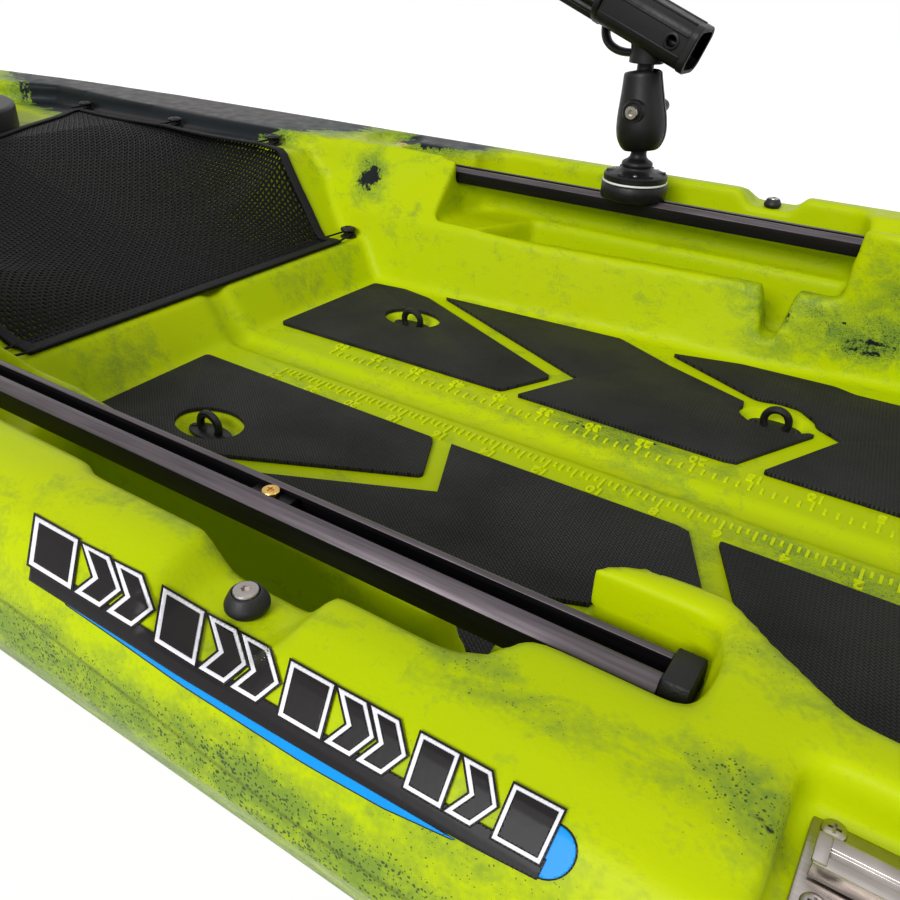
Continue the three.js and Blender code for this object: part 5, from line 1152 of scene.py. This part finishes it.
body = moved(prism(rounded_square(tube_half, tube_corner), tube_bow, tube_stern), turn=lay_along)
lip = moved(prism(rounded_square(tube_half + 0.0009, tube_corner + 0.0005), tube_stern - 0.0085,
                  tube_stern), turn=lay_along)
bore = lambda: moved(prism(rounded_square(tube_half - tube_wall, tube_corner - tube_wall), -0.2, 0.2),
                     turn=lay_along)
hole = lambda: moved(rod(eyelet_inside, 0, 0.05, 32),
                     (tube_stern - side_hole_back, 0, 0), lay_port)
body = carved(broken(body, 0.0008, 2, 0.9), bore(), hole())
lip = carved(broken(lip, 0.0012, 3, 0.9), bore())
eyelet = spun([(eyelet_inside, 0.0200), (side_hole * 1.12, 0.0200), (side_hole * 1.12, 0.0243),
               (side_hole * 1.0, 0.0250), (side_hole * 0.80, 0.0250), (eyelet_inside, 0.0243),
               (eyelet_inside, 0.0200)], 40)
eyelet = moved(eyelet, (tube_stern - side_hole_back, 0, 0), lay_port)
ribs = []
for across, over in ((-0.0142, 0.0232), (0.0142, 0.0232), (-0.0234, 0.0110), (0.0234, 0.0110),
                     (-0.0234, -0.0100), (0.0234, -0.0100)):
    rib = broken(brick((tube_bow + 0.002, across - 0.0012, over - 0.0012),
                       (tube_stern - 0.009, across + 0.0012, over + 0.0014)), 0.0006)
    ribs.append(rib)
tube = moved(joined(body, lip, eyelet, *ribs), turn=to_tube)
neck = spun([(0, neck_foot), (neck_plate - 0.0006, neck_foot), (neck_plate, neck_foot + 0.0006),
             (neck_plate - 0.0002, 0.030), (neck_plate - 0.0006, 0.036), (neck_plate + 0.0002, 0.042),
             (neck_plate + 0.0016, 0.047), (neck_plate + 0.002, 0.049), (0, 0.049)], 56)
stem = rod(neck_radius, 0, neck_foot + 0.002, 40)
web = moved(prism([(0.0, 0.0300), (0.0165, 0.0300), (0.0300, 0.0400), (0.0440, 0.0440), (0.0, 0.0620)],
                  -0.0125, 0.0125), turn=lay_port)
finger = bent([(-0.0130, 0, 0.0320), (-0.0330, 0, 0.0320), (-0.0480, 0, 0.0400), (-0.0520, 0, 0.0540),
               (-0.0490, 0, 0.0700)], 0.014, 8)
band = wire(finger, 0.0042, 3)
bmesh.ops.scale(band, vec=(1, 2.0, 1), verts=band.verts)
neck_parts = moved(joined(neck, stem, broken(web, 0.004, 3), band, globe(upper_radius)), turn=to_holder)
fitted(joined(tube, neck_parts), "holder_tube", black_plastic, "rod_tube", "black_plastic",
       "rod_holder_tube", crisp=0.7)

ribbed = []
for angle in np.linspace(0, 2 * math.pi, collar_ribs * 12, endpoint=False):
    reach = 0.0246 + 0.0016 * max(-0.6, min(0.6, math.cos(collar_ribs * angle))) / 0.6
    ribbed.append((reach * math.cos(angle), reach * math.sin(angle)))
grip = broken(prism(ribbed, collar_start - collar_long, collar_start - 0.006), 0.0010, 2, 0.9)
stop = spun([(0, collar_start - 0.0072), (0.0258, collar_start - 0.0072), (0.0266, collar_start - 0.0062),
             (0.0266, collar_start - 0.0010), (0.0256, collar_start), (0, collar_start)], 72)
clear = lambda: rod(0.0195, -0.2, 0.2, 64)
collar = joined(carved(grip, clear()), carved(stop, clear()))
fitted(moved(moved(collar, turn=lay_along), turn=to_tube), "holder_collar", black_plastic, "rod_collar",
       "black_plastic", "rod_holder_collar", crisp=0.7)

# Section latches: pressed stainless steel in a recess of each gunwale. The lever pulls a wire
# bail over the keeper on the other section; pan-head cross screws hold both plates.
latch_line, plate_low, plate_high = 0.39399, 0.3203, 0.3223
pivot_x, pivot_level = 0.004, 0.3283
lever_bow, lever_stern, lever_half = -0.040, 0.0064, 0.0064
lever_top, lever_low = 0.3304, 0.3232
bail_radius, bail_start, bail_end, bail_half = 0.0012, -0.008, 0.072, 0.012
keeper_bow, keeper_stern, keeper_half = 0.0612, 0.0912, 0.016
latch_screw = 0.0042


def plate(low, high, corner):
    """Flat plate with round corners."""
    shape = brick(low, high)
    bevelled(shape, upright_edges(shape, (high[2] - low[2]) / 2), corner, 5, clamped=False)
    return broken(shape, 0.0004, 2)


for side_name, side in both_sides:
    base = plate((-0.043, -0.020, plate_low), (0.030, 0.020, plate_high), 0.003)
    ears = [broken(brick((0.001, min(a, b), plate_low + 0.001), (0.007, max(a, b), 0.3315)), 0.0004)
            for a, b in ((0.0078, 0.0088), (-0.0078, -0.0088))]
    pin = moved(rod(0.0013, -0.0098, 0.0098, 20), (pivot_x, 0, pivot_level), lay_port)
    folds = [broken(brick((0.0105, a - 0.0012, plate_low + 0.001), (0.030, a + 0.0012, 0.3246)), 0.0008)
             for a in (-0.0085, 0.0085)]
    screws = [moved(dome_screw(latch_screw, 0.0014, *cross_recess(0.0028, 0.0013)),
                    (x, y, plate_high + 0.0008)) for x in (-0.036, 0.023) for y in (-0.0148, 0.0148)]
    fitted(moved(joined(base, *ears, pin, *folds, *screws), (0, side * latch_line, 0)),
           f"latch_plate_{side_name}", stainless, "boat", "stainless", f"{side_name}_latch_base")
    section = [(-lever_half, lever_low), (-lever_half, lever_top), (-0.0018, lever_top),
               (-0.0013, lever_top - 0.0013), (0.0013, lever_top - 0.0013), (0.0018, lever_top),
               (lever_half, lever_top), (lever_half, lever_low), (lever_half - 0.0011, lever_low),
               (lever_half - 0.0011, lever_top - 0.0011), (0.0026, lever_top - 0.0011),
               (0.0021, lever_top - 0.0023), (-0.0021, lever_top - 0.0023), (-0.0026, lever_top - 0.0011),
               (0.0011 - lever_half, lever_top - 0.0011), (0.0011 - lever_half, lever_low)]
    lever = prism([(-z, y) for y, z in section], lever_bow, lever_stern)
    lever = broken(moved(lever, turn=lay_along), 0.0003, 2, 0.9)
    tongue = broken(brick((lever_bow - 0.0006, -0.0060, lever_top - 0.0012),
                          (lever_bow + 0.004, 0.0060, lever_top + 0.0008)), 0.0007)
    fitted(moved(joined(lever, tongue), (0, side * latch_line, 0)), f"latch_lever_{side_name}", stainless,
           f"{side_name}_lever", "stainless", f"{side_name}_latch_lever")
    frame_line = [(bail_start, -0.0072, pivot_level), (bail_start, -bail_half, pivot_level),
                  (bail_end, -bail_half, pivot_level), (bail_end, bail_half, pivot_level),
                  (bail_start, bail_half, pivot_level), (bail_start, 0.0072, pivot_level)]
    bail = moved(wire(bent(frame_line, 0.004), bail_radius), (0, side * latch_line, 0))
    fitted(bail, f"latch_bail_{side_name}", stainless, f"{side_name}_bail", "stainless",
           f"{side_name}_latch_bail", crisp=1.0)
    catch = plate((keeper_bow, -keeper_half, plate_low), (keeper_stern, keeper_half, plate_high), 0.003)
    hook = moved(prism([(0.0682, 0.3213), (0.0702, 0.3213), (0.0702, 0.3296), (0.0694, 0.3313),
                        (0.0682, 0.3313)], -0.0075, 0.0075), turn=lay_port)
    pair = [moved(dome_screw(latch_screw, 0.0014, *cross_recess(0.0028, 0.0013)),
                  (0.0842, y, plate_high + 0.0008)) for y in (-0.009, 0.009)]
    fitted(moved(joined(catch, broken(hook, 0.0004), *pair), (0, side * latch_line, 0)),
           f"latch_keeper_{side_name}", stainless, "boat", "stainless", f"{side_name}_latch_keeper")

# Carry handles: moulded nylon grips at bow and stern, ribbed for the fingers. Each has a foot
# at either end, and two stainless screws go down through each foot.
handle_half, handle_rise, handle_grip, handle_foot = 0.060, 0.034, 0.008, 0.015

for name in ("bow_handle", "stern_handle"):
    low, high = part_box(name)
    spot = ((low[0] + high[0]) / 2, 0, low[2])
    half, rise, grip = handle_half, handle_rise, handle_grip
    line = bent([(0, -half, 0.0015), (0, -half, rise / 2), (0, -half * 0.8, rise), (0, 0, rise + grip / 2),
                 (0, half * 0.8, rise), (0, half, rise / 2), (0, half, 0.0015)], 0.014, 8)
    grip_bar = wire(line, grip, 4)
    feet = [moved(spun([(0, 0), (handle_foot, 0), (handle_foot, 0.0036), (handle_foot - 0.0012, 0.0050),
                        (0.009, 0.0056), (0, 0.0056)], 40), (0, y, 0)) for y in (-half, half)]
    finger_ribs = []
    for y in np.linspace(-0.030, 0.030, 9):
        ringed = spun([(grip - 0.001, -0.0012), (grip + 0.0006, -0.0006), (grip + 0.0006, 0.0006),
                       (grip - 0.001, 0.0012), (grip - 0.001, -0.0012)], 32)
        finger_ribs.append(moved(ringed, (0, y, rise + 0.0034 - abs(y) * 0.10), lay_port))
    fitted(moved(joined(grip_bar, *feet, *finger_ribs), spot), f"carry_{name}", black_plastic, "boat",
           "black_plastic", name, crisp=0.9)
    bolts = [moved(dome_screw(0.0034, 0.0012, *cross_recess(0.0022, 0.0010)), (x, y, 0.0050))
             for x in (-0.0112, 0.0112) for y in (-half, half)]
    fitted(moved(joined(*bolts), spot), f"{name}_screws", stainless, "boat", "stainless")

# Drain plug: a nylon plug with a finger bar across its top. It screws into the hole in the
# stern deck, and its flange seals on the deck round it.
low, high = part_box("drain_plug")
plug_x, plug_seat = (low[0] + high[0]) / 2, high[2] - 0.014
flange = spun([(0, -0.016), (0.0140, -0.016), (0.0144, -0.015), (0.0144, 0), (0.021, 0), (0.021, 0.0040),
               (0.0202, 0.0058), (0.0185, 0.0070), (0.0110, 0.0074), (0, 0.0074)], 56)
finger_bar = broken(brick((-0.0126, -0.0022, 0), (0.0126, 0.0022, 0.0140)), 0.0014, 3)
fitted(moved(joined(flange, finger_bar), (plug_x, 0, plug_seat)), "stern_plug", black_plastic, "plug",
       "black_plastic", "drain_plug", crisp=0.9)

# Seat: a bent aluminium tube frame on rubber feet, a tube back hinged to it, and two
# polyester pads over foam. It folds down over the base for transport.
seat_bow, seat_stern, seat_side = 0.2162, 0.5734, 0.205
seat_tube, slat_tube, pan_level, foot_level = 0.011, 0.009, 0.340, 0.1946
hinge_x, hinge_level, recline = 0.5514, 0.430, math.radians(12)
back_side, back_shoulder, back_top = 0.229, 0.258, 0.300
pan_length, pan_middle, back_middle, back_length = 0.3022, 0.3673, 0.156, 0.186
leg_splay, shoe_splay, slat_share, tube_bend = 0.0186, 0.0180, 0.3, 0.030
cheek_line, cheek_half, shoulder_in = 0.214, 0.022, 0.033
channel_depth, channel_width, welt_depth, welt_place, welt_width = 0.0055, 0.0045, 0.0030, 0.075, 0.02
block_share, block_corner, swell_limit = 0.72, 0.009, 0.010

seat_metal, tree, shader, place = surface("satin_aluminium", (96, 98, 102), 0.34, Metallic=0.9)
coloured(tree, shader, mixed(tree, drift(tree, place, 40, 3.0), (88, 90, 94), (112, 114, 118)))
roughened(tree, shader, drift(tree, place, 300, 2.0, 0.28, 0.42))
relief(tree, shader, noise_at(tree, place, 1000, 2.0), 0.00004)

legs, shoes = [], []
for side in (-1, 1):
    y = side * seat_side
    run = bent([(seat_bow - leg_splay, y, foot_level + 0.004), (seat_bow, y, pan_level),
                (seat_stern, y, pan_level), (seat_stern + leg_splay, y, foot_level + 0.004)], tube_bend, 9)
    legs.append(wire(run, seat_tube, 5))
    cheek = prism([(hinge_x - cheek_half, pan_level), (hinge_x + cheek_half, pan_level),
                   (hinge_x + 0.011, hinge_level + 0.011), (hinge_x - 0.011, hinge_level + 0.011)], -0.0018,
                  0.0018)
    legs.append(moved(broken(cheek, 0.0008, 2, 0.4), (0, side * cheek_line, 0), lay_port))
    for x in (seat_bow - shoe_splay, seat_stern + shoe_splay):
        shoe = spun([(0, 0), (0.0134, 0), (0.0140, 0.0010), (0.0132, 0.0200), (0.0112, 0.0214),
                     (0.0104, 0.0214), (0.0104, 0.004), (0, 0.004)], 40)
        shoes.append(moved(shoe, (x, y, foot_level)))
for x in (pan_middle - slat_share * pan_length, pan_middle + slat_share * pan_length):
    legs.append(wire([(x, -seat_side, pan_level), (x, seat_side, pan_level)], slat_tube, 5))
fitted(joined(*legs), "seat_base_tubes", seat_metal, "boat", "seat_metal", "seat_base_frame", crisp=0.8)
fitted(joined(*shoes), "seat_feet", rubber, "boat", "black_rubber", crisp=0.8)

to_back = Matrix.Translation((hinge_x, 0, hinge_level)) @ Matrix.Rotation(recline, 4, "Y")
hoop = wire(bent([(0, -back_side, 0), (0, -back_side, back_shoulder),
                  (0, shoulder_in - back_side, back_top), (0, back_side - shoulder_in, back_top),
                  (0, back_side, back_shoulder), (0, back_side, 0)], tube_bend, 9), seat_tube, 5)
rungs = [wire([(0, -back_side, z), (0, back_side, z)], slat_tube, 5)
         for z in (back_middle - slat_share * back_length, back_middle + slat_share * back_length)]
pins = [moved(spun([(0, 0), (0.0047, 0), (0.0047, 0.0190), (0.0035, 0.0198), (0, 0.0198)], 24),
              (0, side * back_side, 0), Matrix.Rotation(side * math.pi / 2, 4, "X")) for side in (-1, 1)]
knuckles = [globe(seat_tube, (0, side * back_side, 0)) for side in (-1, 1)]
fitted(moved(joined(hoop, *rungs, *pins, *knuckles), turn=to_back), "seat_back_tubes", seat_metal,
       "seat_back", "seat_metal", "seat_back_frame", crisp=0.8)

seat_fabric, tree, shader, place = surface("seat_polyester", (40, 41, 45), 0.78, Sheen_Weight=0.3,
                                           Sheen_Roughness=0.5)
cloth_map = node(tree, "UVMap").outputs["UV"]
warp = node(tree, "TexWave", {"bands_direction": "X"}, Vector=cloth_map, Scale=140,
            Distortion=0.6).outputs["Fac"]
weft = node(tree, "TexWave", {"bands_direction": "Y"}, Vector=cloth_map, Scale=140,
            Distortion=0.6).outputs["Fac"]
woven = sums(tree, "MULTIPLY", warp, weft)
worn = ramp(tree, noise_at(tree, place, 22, 4.0), 0.35, 0.7)
coloured(tree, shader, mixed(tree, woven, mixed(tree, worn, (30, 31, 34), (38, 39, 43)), (66, 68, 73)))
relief(tree, shader, woven, 0.0004)


def stuffed(name, length, width, thick, channels):
    """Foam pad under cloth: a soft block blown up as cloth, then sewn down along its channels."""
    block = broken(brick((-length / 2, -width / 2, 0), (length / 2, width / 2, thick * block_share)),
                   block_corner, 4)
    mesh = bpy.data.meshes.new(name)
    block.to_mesh(mesh)
    block.free()
    pad = as_object(mesh, name, seat_fabric)
    skin = pad.modifiers.new("skin", "REMESH")
    skin.mode, skin.voxel_size, skin.use_smooth_shade = "VOXEL", 0.006, True
    applied(pad)
    still = [v.co.copy() for v in pad.data.vertices]
    cloth = pad.modifiers.new("swell", "CLOTH")
    cloth.settings.use_pressure, cloth.settings.uniform_pressure_force = True, 4.0
    cloth.settings.effector_weights.gravity = 0.0
    for step in range(1, 21):
        bpy.context.scene.frame_set(step)
    applied(pad)
    bpy.context.scene.frame_set(1)
    for vert, start in zip(pad.data.vertices, still):
        shift = vert.co - start
        vert.co = start + shift * min(1.0, swell_limit / max(shift.length, 1e-9))
    finer = pad.modifiers.new("finer", "SUBSURF")
    finer.levels = finer.render_levels = 1
    applied(pad)
    spots = np.array([v.co for v in pad.data.vertices])
    low, high = spots.min(axis=0), spots.max(axis=0)
    spots = (spots - low) / (high - low) * np.array([length, width, thick])
    spots -= np.array([length / 2, width / 2, 0])
    upper = np.clip(spots[:, 2] / thick, 0, 1)
    for across in channels:
        spots[:, 2] -= channel_depth * upper * np.exp(-((spots[:, 1] - across) / channel_width) ** 2)
    welt = np.clip(1 - np.maximum(abs(spots[:, 0]) / (length / 2), abs(spots[:, 1]) / (width / 2)), 0, 1)
    spots[:, 2] -= welt_depth * upper * np.exp(-((welt - welt_place) / welt_width) ** 2)
    sheet = pad.data.uv_layers.new(name="cloth")
    for corner in pad.data.loops:
        spot = spots[corner.vertex_index]
        sheet.data[corner.index].uv = (spot[0], spot[1])
    pad.data.polygons.foreach_set("use_smooth", [True] * len(pad.data.polygons))
    return pad, spots


def laid(pad, spots, place, body, cad_node):
    for vert, spot in zip(pad.data.vertices, spots):
        vert.co = place @ Vector(spot)
    pad.data.update()
    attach(pad, body)
    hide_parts(cad_node)
    return pad


pad, spots = stuffed("seat_cushion", pan_length, 0.374, 0.0335, (-0.093, 0.0, 0.093))
laid(pad, spots, Matrix.Translation((pan_middle, 0, pan_level + slat_tube + 0.0004)), "boat", "seat_pad")
pad, spots = stuffed("seat_back_cushion", back_length, 0.422, 0.0295, (-0.105, 0.0, 0.105))
laid(pad, spots, to_back @ Matrix.Translation((-slat_tube - 0.0004, 0, back_middle))
     @ Matrix.Rotation(-math.pi / 2, 4, "Y"), "seat_back", "seat_back_pad")


# Floor and light: a plain white floor that keeps the shadow, and soft studio light
floor_half, floor_tone, seen_tone = 9.0, (206, 206, 206), (120, 120, 120)
floor_glow, far_reach = 0.87, (2.7, 1.5, 1.0)
sky_light, lit_spot = 0.36, Vector((-0.2, 0, 0.2))
floor_shape = bmesh.new()
bmesh.ops.create_grid(floor_shape, x_segments=2, y_segments=2, size=floor_half)
floor_mesh = bpy.data.meshes.new("floor")
floor_shape.to_mesh(floor_mesh)
floor_shape.free()
floor_paint, tree, shader, place = surface("floor_white", floor_tone, 0.9, Specular_IOR_Level=0.1)
seen = node(tree, "LightPath")
direct = sums(tree, "MAXIMUM", seen.outputs["Is Camera Ray"], seen.outputs["Is Glossy Ray"])
direct = sums(tree, "MAXIMUM", direct, seen.outputs["Is Transmission Ray"])
dusty = mixed(tree, noise_at(tree, place, 3, 2.0), floor_tone, (210, 210, 210))
coloured(tree, shader, mixed(tree, direct, dusty, seen_tone))
away = node(tree, "VectorMath", {"operation": "DIVIDE"}, i0=place, i1=far_reach).outputs[0]
away = node(tree, "VectorMath", {"operation": "LENGTH"}, i0=away).outputs["Value"]
shader.inputs["Emission Color"].default_value = (1, 1, 1, 1)
glow = ramp(tree, away, 0.55, 1.2, floor_glow, 1.0)
tree.links.new(sums(tree, "MULTIPLY", direct, glow), shader.inputs["Emission Strength"])
as_object(floor_mesh, "floor", floor_paint)

world = bpy.data.worlds.new("studio")
bpy.context.scene.world = world
world.use_nodes = True
tree = world.node_tree
seen = node(tree, "LightPath")
direct = sums(tree, "MAXIMUM", seen.outputs["Is Camera Ray"], seen.outputs["Is Glossy Ray"])
direct = sums(tree, "MAXIMUM", direct, seen.outputs["Is Transmission Ray"])
tree.nodes["Background"].inputs["Color"].default_value = (1, 1, 1, 1)
tree.links.new(ramp(tree, direct, 0.0, 1.0, sky_light, 1.0), tree.nodes["Background"].inputs["Strength"])
lamps = [("overhead", (-0.3, 0.3, 3.0), (2.4, 1.6), 7), ("port_window", (-0.5, -6.4, 4.2), (4.2, 3.0), 455),
         ("stern_window", (3.2, 0.2, 2.4), (1.8, 1.8), 12)]
for name, spot, (wide, long), watts in lamps:
    lamp = bpy.data.lights.new(name, "AREA")
    lamp.shape, lamp.size, lamp.size_y, lamp.energy = "RECTANGLE", wide, long, watts
    holder = bpy.data.objects.new(name, lamp)
    aim = (lit_spot - Vector(spot)).to_track_quat("-Z", "Y")
    holder.matrix_world = Matrix.Translation(spot) @ aim.to_matrix().to_4x4()
    bpy.context.scene.collection.objects.link(holder)
bpy.context.scene.view_settings.view_transform = "Standard"
